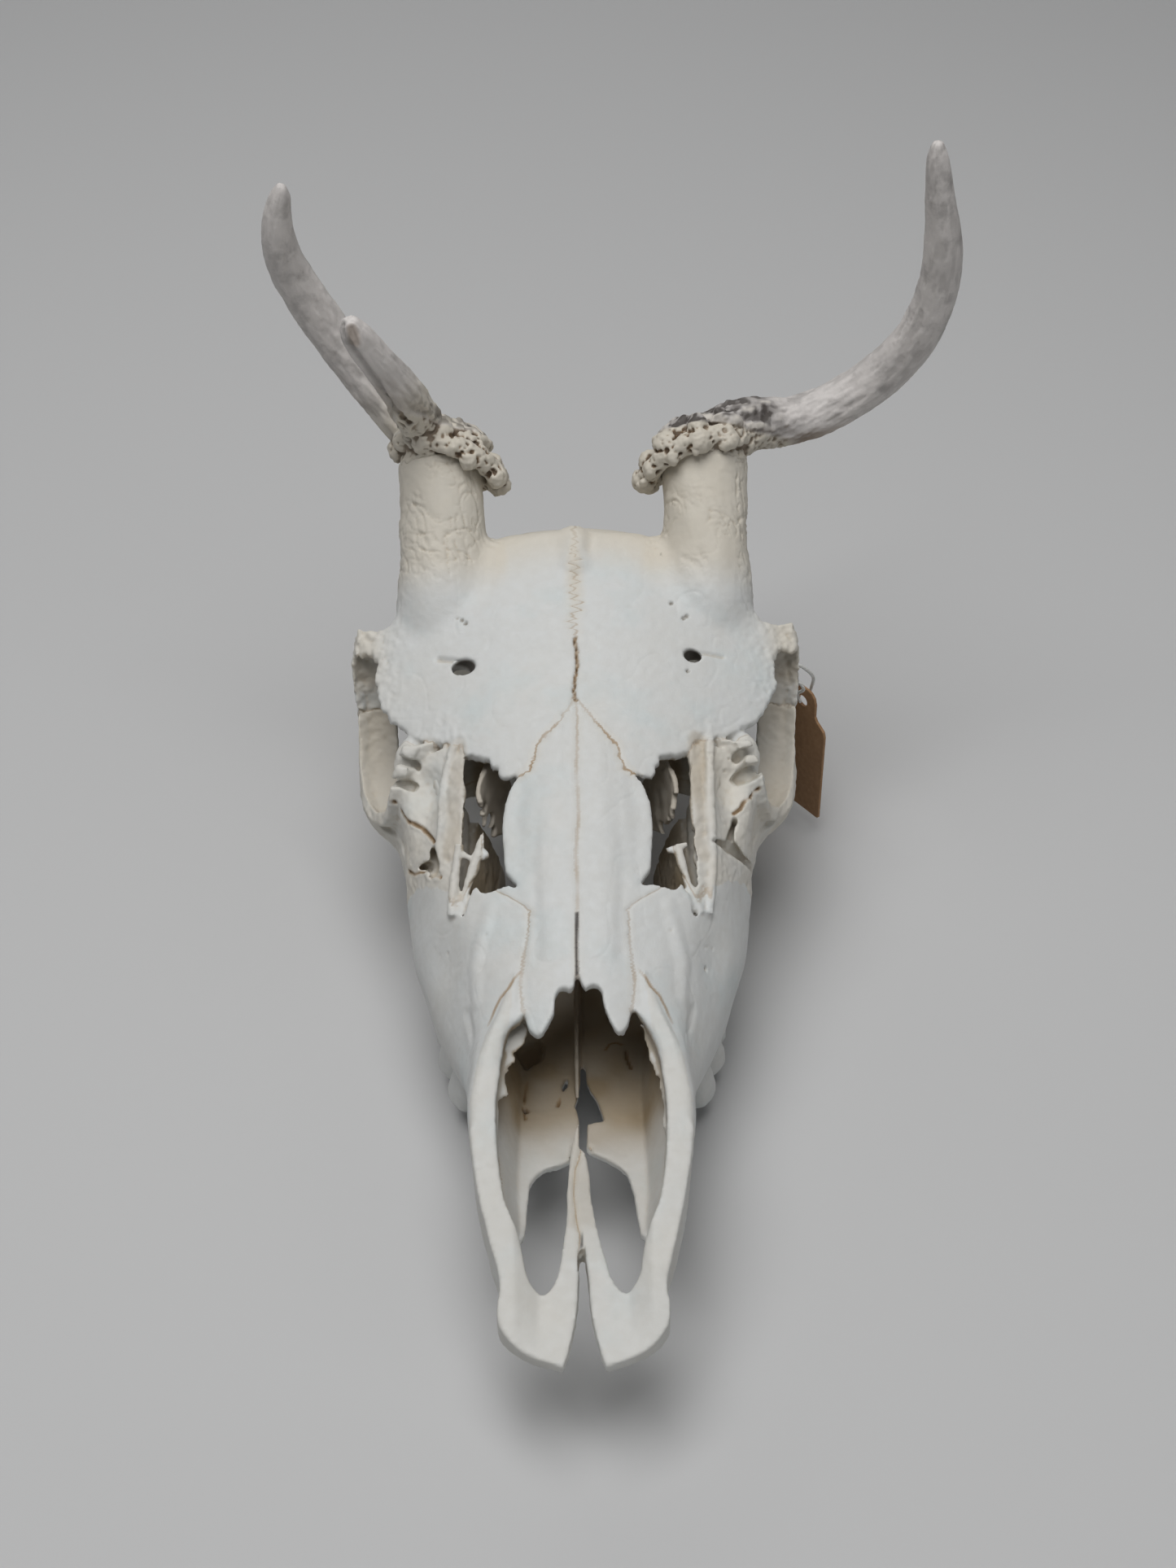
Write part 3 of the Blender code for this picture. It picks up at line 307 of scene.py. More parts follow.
def colour_setting(name, about, value):
    """A colour that a user may change."""
    return FloatVectorProperty(name=name, description=about, default=value, size=3, subtype="COLOR")


class BoneSettings(bpy.types.PropertyGroup):
    """Fineness, grain and colours of the bones."""

    skin: FloatProperty(
        name="Skin fineness",
        description="Edge length of the skin that takes the bones' detail, in millimetres",
        default=0.45,
        min=0.3,
        max=2.0,
    )
    grain: FloatProperty(
        name="Grain depth",
        description="Depth of the bone's own fine relief, in millimetres",
        default=0.06,
        min=0,
    )
    cool: colour_setting("Cool bone", "Colour of the bone of the forehead and nose", (0.66, 0.67, 0.66))
    warm: colour_setting("Warm bone", "Colour of the bone at the rims and pedicles", (0.66, 0.61, 0.52))
    seam: colour_setting("Suture stain", "Colour of the stain in the sutures", (0.33, 0.21, 0.10))
    inner: colour_setting("Inner bone", "Colour of the thin bone inside the nose", (0.33, 0.245, 0.14))


class AntlerSettings(bpy.types.PropertyGroup):
    """Pearls, flutes and colours of the antlers."""

    pearls: IntProperty(
        name="Pearls",
        description="Pearls in the lowest ring of each burr",
        default=12,
        min=8,
        max=30,
    )
    flute: FloatProperty(
        name="Flute depth",
        description="Depth of the furrows along the beams, in millimetres",
        default=0.42,
        min=0,
    )
    beam: colour_setting("Beam", "Main colour of the beams", (0.56, 0.53, 0.51))
    dark: colour_setting("Dark stain", "Colour in the furrows and between the pearls", (0.035, 0.026, 0.020))


class StageSettings(bpy.types.PropertyGroup):
    """Table, lights and camera."""

    floor: colour_setting("Table", "Colour of the table", (0.56, 0.56, 0.56))
    key: FloatProperty(
        name="Key light",
        description="Power of the large light above the skull",
        default=12.0,
        unit="POWER",
    )
    fill: FloatProperty(
        name="Fill light",
        description="Power of the light beside the skull and of the one behind it",
        default=1.0,
        unit="POWER",
    )
    lens: FloatProperty(
        name="Lens",
        description="Focal length for a 36 mm long picture side, in millimetres",
        default=50.0,
    )


# Curves and bodies


def graded(stations, place):
    """Values that run smoothly through a table of (place, value, ...) rows."""
    table = np.array(stations, float)
    at, values = table[:, 0], table[:, 1:]
    slopes = np.gradient(values, at, axis=0)
    place = np.clip(np.asarray(place, float), at[0], at[-1])
    row = np.clip(np.searchsorted(at, place, side="right") - 1, 0, len(at) - 2)
    step = at[row + 1] - at[row]
    part = ((place - at[row]) / step)[..., None]
    step = step[..., None]
    rise = values[row + 1] - values[row]
    bend = 3 * rise - step * (2 * slopes[row] + slopes[row + 1])
    twist = step * (slopes[row] + slopes[row + 1]) - 2 * rise
    return values[row] + part * (step * slopes[row] + part * (bend + part * twist))


def spline(points, count):
    """Points along a smooth curve through the given ones."""
    points = np.array(points, float)
    led = np.vstack([2 * points[0] - points[1], points, 2 * points[-1] - points[-2]])
    place = np.linspace(0, len(points) - 1, count)
    row = np.minimum(place.astype(int), len(points) - 2)
    t = (place - row)[:, None]
    a, b, c, d = led[row], led[row + 1], led[row + 2], led[row + 3]
    cubic = (3 * b - a - 3 * c + d) * t**3 + (2 * a - 5 * b + 4 * c - d) * t**2
    return 0.5 * (cubic + (c - a) * t + 2 * b)


def unit(vectors):
    """The vectors, each cut to a length of 1."""
    return vectors / np.linalg.norm(vectors, axis=-1, keepdims=True)


def curve_frame(curve, lie):
    """Unit vectors along a curve, across it and square to lie, and over it, at each of its points."""
    ahead = unit(np.gradient(curve, axis=0))
    across = unit(np.cross(ahead, lie))
    return ahead, across, np.cross(across, ahead)


def run_lengths(points):
    """Length of a line from its start to each of its points."""
    return np.concatenate([[0], np.cumsum(np.linalg.norm(np.diff(points, axis=0), axis=1))])


def roof(x, y):
    """Height of the skull's roof."""
    middle, drop = np.moveaxis(graded(ROOF, y), -1, 0)
    return middle - drop * np.asarray(x, float) ** 2


def ease(value):
    """A value cut to 0 to 1 with soft ends."""
    value = np.clip(value, 0, 1)
    return value * value * (3 - 2 * value)


def above(value, start, over):
    """0 up to the start, then rising softly to 1 over the given distance."""
    return ease((value - start) / over)


def below(value, end, over):
    """0 from the end on, and rising softly to 1 over the given distance before it."""
    return ease((end - value) / over)


def clouds(points, size, seed):
    """Smooth random values from -1 to 1 that change over the given distance."""
    place = points / size + 17.31 * seed
    cell = np.floor(place).astype(np.int64)
    part = place - cell
    part = part * part * (3 - 2 * part)
    total = np.zeros(len(points))
    for corner in range(8):
        step = np.array([corner & 1, corner >> 1 & 1, corner >> 2 & 1])
        key = (cell + step) @ np.array([73856093, 19349663, 83492791])
        key = (key ^ (key >> 13)) * 1274126177
        value = ((key ^ (key >> 16)) & 65535) / 32767.5 - 1
        total += value * np.prod(np.where(step, part, 1 - part), axis=1)
    return total


def from_line(points, line):
    """Distance of each point from a line through the given places."""
    best = np.full(len(points), 1e9)
    line = np.array(line, float)
    for start, end in zip(line, line[1:]):
        ahead = end - start
        along = np.clip((points - start) @ ahead / (ahead @ ahead), 0, 1)
        best = np.minimum(best, np.linalg.norm(points - start - along[:, None] * ahead, axis=1))
    return best


def placed(name, data):
    """An object in the scene that holds the data."""
    thing = bpy.data.objects.new(name, data)
    bpy.context.scene.collection.objects.link(thing)
    return thing


def evaluated(thing):
    """A new mesh of the object as its modifiers leave it."""
    bpy.context.view_layer.update()
    graph = bpy.context.evaluated_depsgraph_get()
    return bpy.data.meshes.new_from_object(thing.evaluated_get(graph))


def solid(name, bm):
    """An object in metres from a mesh in millimetres, faces out."""
    bmesh.ops.recalc_face_normals(bm, faces=bm.faces)
    if bm.calc_volume(signed=True) < 0:
        bmesh.ops.reverse_faces(bm, faces=bm.faces)
    bmesh.ops.scale(bm, vec=Vector((MM, MM, MM)), verts=bm.verts)
    mesh = bpy.data.meshes.new(name)
    bm.to_mesh(mesh)
    bm.free()
    return placed(name, mesh)


def loft(rings, name="loft"):
    """A closed body through rings with the same number of points."""
    bm = bmesh.new()
    loops = [[bm.verts.new(Vector(point)) for point in ring] for ring in rings]
    for near, far in zip(loops, loops[1:]):
        for i in range(len(near)):
            j = (i + 1) % len(near)
            bm.faces.new((near[i], near[j], far[j], far[i]))
    bm.faces.new(reversed(loops[0]))
    bm.faces.new(loops[-1])
    bm.normal_update()
    bmesh.ops.triangulate(bm, faces=bm.faces)
    return solid(name, bm)


def sheet(rows, thickness):
    """A closed plate: a grid of points is its outer face, and it is as thick inwards as given."""
    grid = np.array(rows, float)
    across = np.gradient(grid, axis=1)
    along = np.gradient(grid, axis=0)
    inner = grid - unit(np.cross(across, along)) * thickness
    return loft([np.vstack([outer, under[::-1]]) for outer, under in zip(grid, inner)], "sheet")


def rod(points, radii, sides=8, steps=8, flat=1.0, lie=(0, 0, 1)):
    """A tapering bar through the points. flat scales its width across the direction lie."""
    line = spline(points, steps)
    width = spline(np.array(radii, float)[:, None], steps)[:, 0]
    _, across, over = curve_frame(line, lie)
    angles = np.arange(sides) * 2 * math.pi / sides
    rings = []
    for point, side, up, radius in zip(line, across, over, width):
        ring = np.outer(np.cos(angles), side * radius * flat) + np.outer(np.sin(angles), up * radius)
        rings.append(point + ring)
    return loft(rings, "rod")


def blob(center, radii, detail=12, turn=0.0):
    """An ellipsoid, turned about X by the given degrees."""
    bm = bmesh.new()
    size = Matrix.Diagonal((*radii, 1))
    place = Matrix.Translation(center) @ Matrix.Rotation(math.radians(turn), 4, "X") @ size
    bmesh.ops.create_uvsphere(bm, u_segments=detail, v_segments=detail // 2 + 1, radius=1, matrix=place)
    bmesh.ops.triangulate(bm, faces=bm.faces)
    return solid("blob", bm)


def prism(outline, bottom, top):
    """An upright cutter with the given plan outline."""
    curve = bpy.data.curves.new("outline", "CURVE")
    curve.dimensions = "2D"
    curve.fill_mode = "BOTH"
    curve.extrude = (top - bottom) / 2 * MM
    line = curve.splines.new("POLY")
    line.points.add(len(outline) - 1)
    for point, (x, y) in zip(line.points, outline):
        point.co = (x * MM, y * MM, 0, 1)
    line.use_cyclic_u = True
    flat = placed("outline", curve)
    flat.location.z = (top + bottom) / 2 * MM
    mesh = evaluated(flat)
    mesh.transform(flat.matrix_world)
    bpy.data.objects.remove(flat)
    bm = bmesh.new()
    bm.from_mesh(mesh)
    bmesh.ops.remove_doubles(bm, verts=bm.verts, dist=1e-6)
    bmesh.ops.scale(bm, vec=Vector((1 / MM, 1 / MM, 1 / MM)), verts=bm.verts)
    return solid("prism", bm)


def ragged(outline, step, size, seed, closed=True):
    """The outline with a point at every step, each moved sideways at random, as a grown edge."""
    line = np.array(outline, float)
    ends = np.vstack([line, line[:1]]) if closed else line
    length = run_lengths(ends)
    count = max(int(length[-1] / step), 8)
    place = np.linspace(0, length[-1], count, endpoint=not closed)
    points = np.column_stack([np.interp(place, length, ends[:, axis]) for axis in (0, 1)])
    ahead = np.gradient(points, axis=0)
    ahead /= np.maximum(np.linalg.norm(ahead, axis=1, keepdims=True), 1e-6)
    draw = np.random.default_rng(seed)
    wander = 0.6 * draw.uniform(-1, 1, count) + 0.8 * np.interp(
        place, np.arange(0, length[-1] + 5, 2.6), draw.uniform(-1, 1, int((length[-1] + 5) / 2.6) + 1)
    )
    if not closed:
        wander[[0, -1]] = 0
    return points + size * wander[:, None] * np.column_stack([-ahead[:, 1], ahead[:, 0]])


def mirrored(points, side):
    """The points on the given side of the midline."""
    return [(side * point[0], *point[1:]) for point in points]


def combine(thing, others, operation):
    """Applies one Boolean of the object with all the others, which are used up."""
    group = bpy.data.collections.new("operands")
    bpy.context.scene.collection.children.link(group)
    for other in others:
        bpy.context.scene.collection.objects.unlink(other)
        group.objects.link(other)
    step = thing.modifiers.new(operation.lower(), "BOOLEAN")
    step.operation = operation
    step.operand_type = "COLLECTION"
    step.collection = group
    step.solver = "MANIFOLD"
    mesh = evaluated(thing)
    thing.modifiers.clear()
    for other in others:
        bpy.data.objects.remove(other)
    bpy.data.collections.remove(group)
    thing.data = mesh
    return thing


# The bodies under the skin


def slit(points, widths, stroke):
    """A cutter along a line: as wide as given on each side, and both ways along the stroke."""
    line = spline(points, 4 * len(points))
    width = spline(np.array(widths, float)[:, None], len(line))[:, 0]
    stroke = np.array(stroke, float)
    side = unit(np.cross(np.gradient(line, axis=0), stroke))
    rings = []
    for point, across, reach in zip(line, side, np.maximum(width, 0.15)):
        near, far, shift = point + stroke, point - stroke, across * reach
        rings.append([near + shift, near - shift, far - shift, far + shift])
    return loft(rings, "slit")


def sight_stroke(points, reach):
    """A stroke along the camera's line of sight to the middle of the points."""
    sight = np.mean(np.array(points, float), axis=0) - CAMERA_PLACE
    return unit(sight) * reach


def roof_slab(x_range, y_range, steps, thickness, side):
    """A slab under the skull's roof. thickness(x, y) is its depth."""
    across = np.linspace(*x_range, steps[0])
    rings = []
    for y in np.linspace(*y_range, steps[1]):
        top = roof(across, y)
        under = top - thickness(across, y)
        outer = [(side * x, y, z) for x, z in zip(across, top)]
        inner = [(side * x, y, z) for x, z in zip(across, under)]
        rings.append(outer + inner[::-1])
    return loft(rings, "slab")


def nasal_body(side):
    """One nasal bone: an arched strip with a forked front."""
    if side < 0:
        tip = [(0.95, 83.8), (1.0, 82.6), (1.3, 81.5), (1.8, 80.8), (2.3, 80.7), (2.9, 80.9), (3.7, 81.4),
               (4.6, 81.0), (5.3, 79.9), (5.7, 78.3), (5.8, 76.1), (6.3, 74.9), (7.5, 73.0), (8.3, 71.7),
               (9.2, 71.1), (10.3, 71.7), (11.3, 72.9), (11.9, 74.6), (12.2, 77)]
    else:
        tip = [(-0.2, 83.8), (0.2, 82.6), (0.9, 81.3), (1.4, 80.7), (2.0, 81.2), (2.8, 81.7), (3.7, 81.8),
               (4.7, 80.8), (5.1, 79.5), (5.2, 78.3), (5.9, 75.8), (6.8, 73.6), (7.8, 72.0), (8.7, 71.4),
               (9.7, 72.0), (10.6, 73.6), (11.3, 75.8), (11.7, 78)]
    outer = [(12.3, 84), (11.4, 93), (11.3, 103), (12.9, 106.2), (14.6, 109), (17, 112.8), (17.8, 124),
             (17.2, 130)]
    suture = [(15.6, 134.5), (13, 137), (9.5, 143.8), (4.7, 148.6), (2.3, 152), (0, 156), (-1, 156)]
    edge = ragged([*spline(tip, 60), *outer, *suture], 0.5, 0.09, 3 + side, closed=False)
    slit_edge = [(0.5, 99), (0.66, 91), (0.9, 85)] if side < 0 else [(-0.38, 99), (-0.28, 91), (-0.2, 85)]
    plan = [(-1, 100), *slit_edge, *edge]
    slab = roof_slab((-3, 20), (68, 158), (30, 70), lambda x, y: np.full_like(x, NASAL_THICKNESS), side)
    return combine(slab, [prism(mirrored(plan, side), 30, 100)], "INTERSECT")


def frontal_depth(x, y):
    """Thin over the orbit, thick over the brain."""
    inward = np.clip((44 - x) / 22, 0, 1)
    backward = np.clip((np.asarray(y) - 140) / 30, 0, 1)
    return 1.9 + 5.5 * inward * backward


def pedicle_point(side, along, out=0.0, near=0.0):
    """A point of a pedicle's axis: along it, out sideways and near the viewer's side of it."""
    cos, sin = math.cos(PEDICLE_SLOPE), math.sin(PEDICLE_SLOPE)
    x, y, z = PEDICLE_FOOT
    return (
        side * (x + 0.02 * along + out),
        y + cos * along - sin * near,
        z + sin * along + cos * near,
    )


def frontal_bodies(side):
    """One frontal with its pedicle, and the hole through it above the orbit."""
    front = [(-1, 150), (-1, 134), (11, 134.2), (13.2, 136.7), (16.9, 136.7), (18.5, 137.6), (20.5, 142.5),
             (23.7, 143.8), (26.6, 145.5)]
    margin = [(29.2, 148.7), (35.8, 151.6), (41, 155.7), (44.5, 159.4), (48, 164.4), (49.8, 169.9),
              (50.3, 172.8), (49.6, 177.8), (51.2, 180.2), (53, 181.4), (54.4, 181.4), (56.5, 183),
              (56.6, 185.2)]
    back = [(53, 186.4), (48.5, 187.6), (45, 190), (43.4, 194), (43, 198), (42, 206), (38, 212), (26, 213),
            (21, 210), (12, 212), (-1, 213)]
    rim = ragged(front[2:] + margin, 0.7, 0.7, 21 + side, closed=False)
    plan = [*front[:2], *rim, *back]
    slab = roof_slab((-3, 60), (132, 220), (60, 84), frontal_depth, side)
    plate = combine(slab, [prism(mirrored(plan, side), 30, 120)], "INTERSECT")
    if side < 0:
        line, radii, flat = [(-26.6, 166.5, 86), (-27.7, 168.5, 80), (-29.5, 172, 70)], (2.3, 2.3, 2.1), 1.25
    else:
        line, radii, flat = [(28.2, 169.5, 86), (28.9, 171, 80.5), (30.5, 174, 70)], (1.9, 1.9, 1.8), 1.1
    plate = combine(plate, [rod(line, radii, 16, 8, flat, (0, 1, 0))], "DIFFERENCE")
    stations = (-16, -6, 0, 6, 14, PEDICLE_LENGTH)
    axis = [pedicle_point(side, along) for along in stations]
    stem = rod(axis, (10, 12.2, 12.4, 11.9, 11.0, 10.9), 48, 30)
    return [plate, stem]


def premaxilla_body(side):
    """One premaxilla: a flat tip, a bar along the midline and a bar up the side of the aperture."""
    outer = [(4.4, 1.4), (9.8, 3.2), (14.5, 5.8), (17.7, 10), (18.2, 14), (17.8, 19.5), (20.5, 29)]
    flank = [(22.6, 38), (24.3, 49), (24.4, 58), (22.8, 67), (18.6, 77), (14.6, 86.5)]
    if side > 0:
        rim = [(12.0, 84), (12.6, 77.5), (14.2, 75), (16.6, 70), (18.2, 64), (18.8, 54), (18.2, 44),
               (16.6, 35.5)]
        fissure = [(13.6, 29), (12, 21), (9, 17.8), (6.2, 20.5), (4.8, 25.3), (3.7, 31), (2.6, 39.2),
                   (1.9, 44.6), (1.6, 50.7), (1.0, 55.5), (0.3, 58.2)]
        inner = [(-0.9, 56.5), (-0.6, 37), (0.1, 33), (0.6, 26), (1.2, 19.3), (1.7, 13), (2.4, 8.8), (3.5, 4)]
    else:
        rim = [(12.8, 84), (13.0, 76.2), (15.6, 74.6), (17.3, 70.5), (18.6, 64), (18.8, 54), (18.2, 44),
               (16.6, 35.5)]
        fissure = [(13.6, 29), (12, 21), (9, 17.8), (6.4, 19.6), (4.9, 25), (4.2, 31), (3.5, 37.8), (3.4, 46),
                   (3.2, 53), (2.6, 58), (1.8, 61.5), (1.1, 64.4)]
        inner = [(0.2, 63.4), (0.3, 55), (-0.4, 48), (-0.4, 37), (0.1, 33), (0.6, 26), (1.2, 19.3),
                 (1.7, 13), (2.4, 8.8), (3.5, 4)]
    plan = outer + flank + rim + fissure + inner
    loop = spline(plan + plan[:1], 150)[:-1]
    across = np.linspace(0, 26, 36)
    rings = []
    for y in np.linspace(0, 88, 70):
        rim_height = 29 + 0.335 * (y - 1.5)
        hollow = 3.2 * np.clip((y - 3) / 12, 0, 1) + np.clip((y - 24) / 30, 0, 1) * 16
        top = rim_height - hollow * np.clip((14.5 - across) / 5, 0, 1)
        under = np.interp(y, (0, 8, 25, 34, 50, 60, 69, 76, 88), (27, 26, 26, 27.5, 33, 38, 45, 51.3, 55.6))
        low = under - np.clip((14 - across) / 3, 0, 1) * max(0.0, under - 26.2) * np.clip((71 - y) / 6, 0, 1)
        upper = [(side * x, y, z) for x, z in zip(across, np.maximum(top, low + 2.0))]
        lower = [(side * x, y, z) for x, z in zip(across, low)]
        rings.append(upper + lower[::-1])
    plan = mirrored(ragged(loop, 0.9, 0.07, 31 + side), side)
    return combine(loft(rings), [prism(plan, 10, 70)], "INTERSECT")


def palate_edge(side, y):
    """Distance of the palate's inner edge from the midline, torn beside the keel."""
    if side > 0:
        front = ((34, 14.2), (36, 12.6), (41.4, 12.0), (47.4, 11.5), (54, 9.9), (57, 7.0), (59, 4.1),
                 (60, 2.3), (61.4, 0.9))
    else:
        front = ((34, 13.9), (35.5, 12.8), (45, 12.2), (50.3, 12.0), (52.6, 11.2), (54.9, 9.6), (55.9, 6.6),
                 (57.1, 3.6), (57.7, 2.6), (63.2, 0.8))
    left = ((69, 1.2), (70, 5.2), (74, 4.4), (77.5, 3.2), (80, 1.9), (83, 1.1), (90, 0.7), (98, 0.3),
            (123.6, 0.2))
    right = ((69, 0.7), (73, 1.0), (75, 1.7), (77, 1.0), (82, 0.3), (123.6, 0.2))
    stations = front + (left if side > 0 else right)
    if y > PALATE_SUTURE_Y - 0.2:
        return 20.6
    return float(np.interp(y, *zip(*stations)))


def face_ring(side, y):
    """One upright section of the side of the face, as a closed C."""
    wall = graded(FACE, y).reshape(7, 2)
    wall_x, foot_x, floor = graded(CAVITY, y)
    top, shoulder, ridge, flank, _, _, alveolar = wall
    root = alveolar[0] - np.interp(y, (34, 70, 80, 150), (3, 4, 9.5, 12.5))
    inside = np.interp(y, (34, 70, 90, 150), (1.5, 1.5, 1.6, 1.6))
    edge = palate_edge(side, y)
    low = floor - PALATE_THICKNESS
    ring = [*spline(wall, 31), (root, alveolar[1]),
            (max(root - 1.5, edge + 0.4), max(low, alveolar[1] + 0.2))]
    ring += [(edge, low), (edge, floor)]
    back = [(max(foot_x, edge + 0.3), floor), (wall_x, floor + 7)]
    back += [(min(flank[0] - 2.5, wall_x + 5), (floor + flank[1]) / 2 + 3)]
    back += [(ridge[0] - 2.4, ridge[1] - 2.6), (shoulder[0] - 0.5, shoulder[1] - inside - 0.5)]
    back += [(top[0], top[1] - inside)]
    ring += list(spline(back, 21))
    return [(side * x, y, z) for x, z in ring]


def tooth(side, y, length, width, height, lean, shift):
    """A cheek tooth of rounded lobes that stand on the alveolar edge, each with a rib on its outer face."""
    wall = graded(FACE, y).reshape(7, 2)
    x = wall[6][0] - width / 2 + 0.4 + shift
    top = wall[6][1] + 3
    turns = np.arange(28) * 2 * math.pi / 28
    bend = np.minimum(turns, 2 * math.pi - turns)
    rib = 1 + 0.10 * np.exp(-(bend**2) / 0.06) - 0.07 * np.exp(-((bend - 0.75) ** 2) / 0.05)
    lobes = 2 if length > 11 else 1
    pieces = []
    for lobe in range(lobes):
        middle = y + (lobe - (lobes - 1) / 2) * length / lobes
        half = length / lobes / 2 * 1.08
        rings = []
        for share, swell in ((0, 0.86), (0.3, 0.95), (0.55, 1.03), (0.8, 1.0), (0.93, 0.88), (1, 0.6)):
            z = top + (height - top) * share
            across = x + lean * share + width / 2 * swell * rib * np.cos(turns)
            along = middle + half * swell * np.sin(turns)
            rings.append([(side * a, b, z) for a, b in zip(across, along)])
        pieces.append(loft(rings))
    return pieces


def tooth_row(side):
    """The six cheek teeth, from the small premolar in front to the last molar."""
    sizes = ((9.6, 8.0, -2.8), (10.4, 9.6, 0.6), (10.2, 11.0, 1.3), (13.4, 13.0, 0.9), (15.6, 14.0, 0.2),
             (15.4, 14.0, 0.0))
    pieces = []
    y = 77.0
    for length, width, shift in sizes:
        middle = y + length / 2
        tip = max(0.0, 7.6 - (middle - 82) * 0.125)
        pieces += tooth(side, middle, length - 0.4, width, tip, 1.8, shift)
        y += length
    return pieces


def vacuity(side):
    """Cutter for the gap between the nasal, the lacrimal and the maxilla."""
    front = [(9, 107.2), (13.3, 107.2), (16.8, 109.0), (20.2, 108.4), (22.7, 108.5), (24.2, 110.8),
             (25.6, 108.4), (26.6, 104.8), (27.6, 104.2)]
    outer = [(27.9, 110), (28.0, 118), (27.4, 122), (27.2, 133), (27.4, 145), (27.6, 153), (9, 153)]
    plan = ragged(front + outer, 0.9, 0.25, 41 + side)
    return prism(mirrored(plan, side), 45, 90)


def orbit_band(side):
    """The ring of the orbit: a thin plate that faces the eye, hollow, with a raised outer lip."""
    stations = spline(ORBIT_BAND, 70)
    share = np.linspace(0, 1, 9)
    lip = 1.5 * above(share, 0.72, 0.28) - 0.9 * np.sin(math.pi * share) + 0.3 * (1 - share) ** 4
    rings = []
    for y, z, inner, outer in stations:
        toward = unit(ORBIT_MIDDLE - (y, z))
        x = inner + share * (outer - inner)
        face = [(side * a, y + toward[0] * h, z + toward[1] * h) for a, h in zip(x, lip)]
        under = [(side * a, y - toward[0] * 2.2, z - toward[1] * 2.2) for a in x]
        rings.append(face + under[::-1])
    return loft(rings, "orbit_band")


def cheek_plate(side):
    """The cheek's outer plate below the orbit, and the front half of the arch."""
    upper = [(40.5, 131, 44), (42.4, 139, 45), (44.4, 145.5, 45.3), (48.5, 150, 45), (52.6, 155, 44.8),
             (54.6, 164, 45.3), (55, 172, 48)]
    lower = [(39.5, 129, 33.5), (41.8, 140, 33.8), (43.8, 149.5, 34), (47, 155.5, 35), (51.6, 160, 36.4),
             (54.2, 167, 38), (54.6, 176, 39.6)]
    low = [(50.9, 160, 41), (52.0, 170, 41.2), (52.4, 178, 42), (51.8, 186.8, 43)]
    rim = [(40.6, 150.5, 68.0), (43, 147.2, 65), (44.2, 145.2, 58), (45.2, 146.2, 51), (47.4, 151, 46.6)]
    bulge = np.array([0.6, 0, 0])
    rows = [
        spline(upper, 30) * (1 - t) + spline(lower, 30) * t + bulge * (t * (1 - t) * 4 - 3.6)
        for t in np.linspace(0, 1, 9)
    ]
    plate = sheet([mirrored(row, side) for row in rows], 3.4 * side)
    arch = rod(mirrored(low, side), (3.2, 4.2, 3.8, 3.4), 18, 20, 0.6, (0, 0, 1))
    edge = rod(mirrored(rim, side), (1.7, 1.9, 2.0, 2.2, 2.6), 16, 30, 0.8, (1, 0, 0))
    return [plate, arch, edge]


def tear_bone(word, side):
    """The lacrimal's wall behind the rim, the upright bar before it and the thin flange beside the bar."""
    edge = [(39.5, 151, 69.4), (43, 147, 65), (44.4, 145.4, 57.5), (46, 147, 50)]
    inner = [(19.5, 158.5, 71), (18.8, 158.5, 65), (18.2, 159, 57), (17.6, 160, 49)]
    rows = [np.array(edge) * (1 - t) + np.array(inner) * t for t in np.linspace(0, 1, 5)]
    wall = sheet([mirrored(row, side) for row in rows], 1.6 * side)
    bar, flange = BARS[word]
    bar_rod = rod(np.array(bar) + (0, -0.3, 0.6), (1.2, 1.35, 1.3, 1.2) + (1.2,) * (len(bar) - 4), 14, 40)
    backing = blob((side * 40.6, 151.6, 62.8), (4.6, 2.6, 7.0), 24, -30)
    count = min(len(bar), len(flange))
    rows = [spline(bar[:count], 30) * (1 - t) + spline(flange[:count], 30) * t for t in np.linspace(0, 1, 6)]
    torn = np.interp(np.arange(30), np.arange(0, 31, 1.5), np.random.default_rng(17).uniform(-0.5, 0.9, 21))
    rings = []
    for i, ring in enumerate(zip(*rows)):
        row = np.array(ring)
        share = np.linspace(0, 1, len(row))
        row[:, 0] += side * torn[i] * share
        row[:, 2] -= 3.2 * share * math.sin(math.pi * min(i / 22, 1) / 2 + 0.3)
        rings.append([*row, *(row[::-1] - (0, 0, 1.3))])
    return [wall, bar_rod, backing, loft(rings, "flange")]


def ledge(word, side):
    """A torn edge of thin bone inside the nose's opening."""
    inner = spline(LEDGES[word], 60)
    draw = np.random.default_rng(13 + side)
    tear = np.interp(np.arange(60), np.arange(0, 62, 2.2), draw.uniform(-0.9, 0.5, 29))
    inner[:, 0] -= side * tear
    outer = inner + (side * 4.5, 1.0, 2.0)
    outer[:, 0] = side * np.maximum(np.abs(outer[:, 0]), 19.5)
    return loft([[a, b, b - (0, 0, 1.0), a - (0, 0, 0.7)] for a, b in zip(inner, outer)], "ledge")


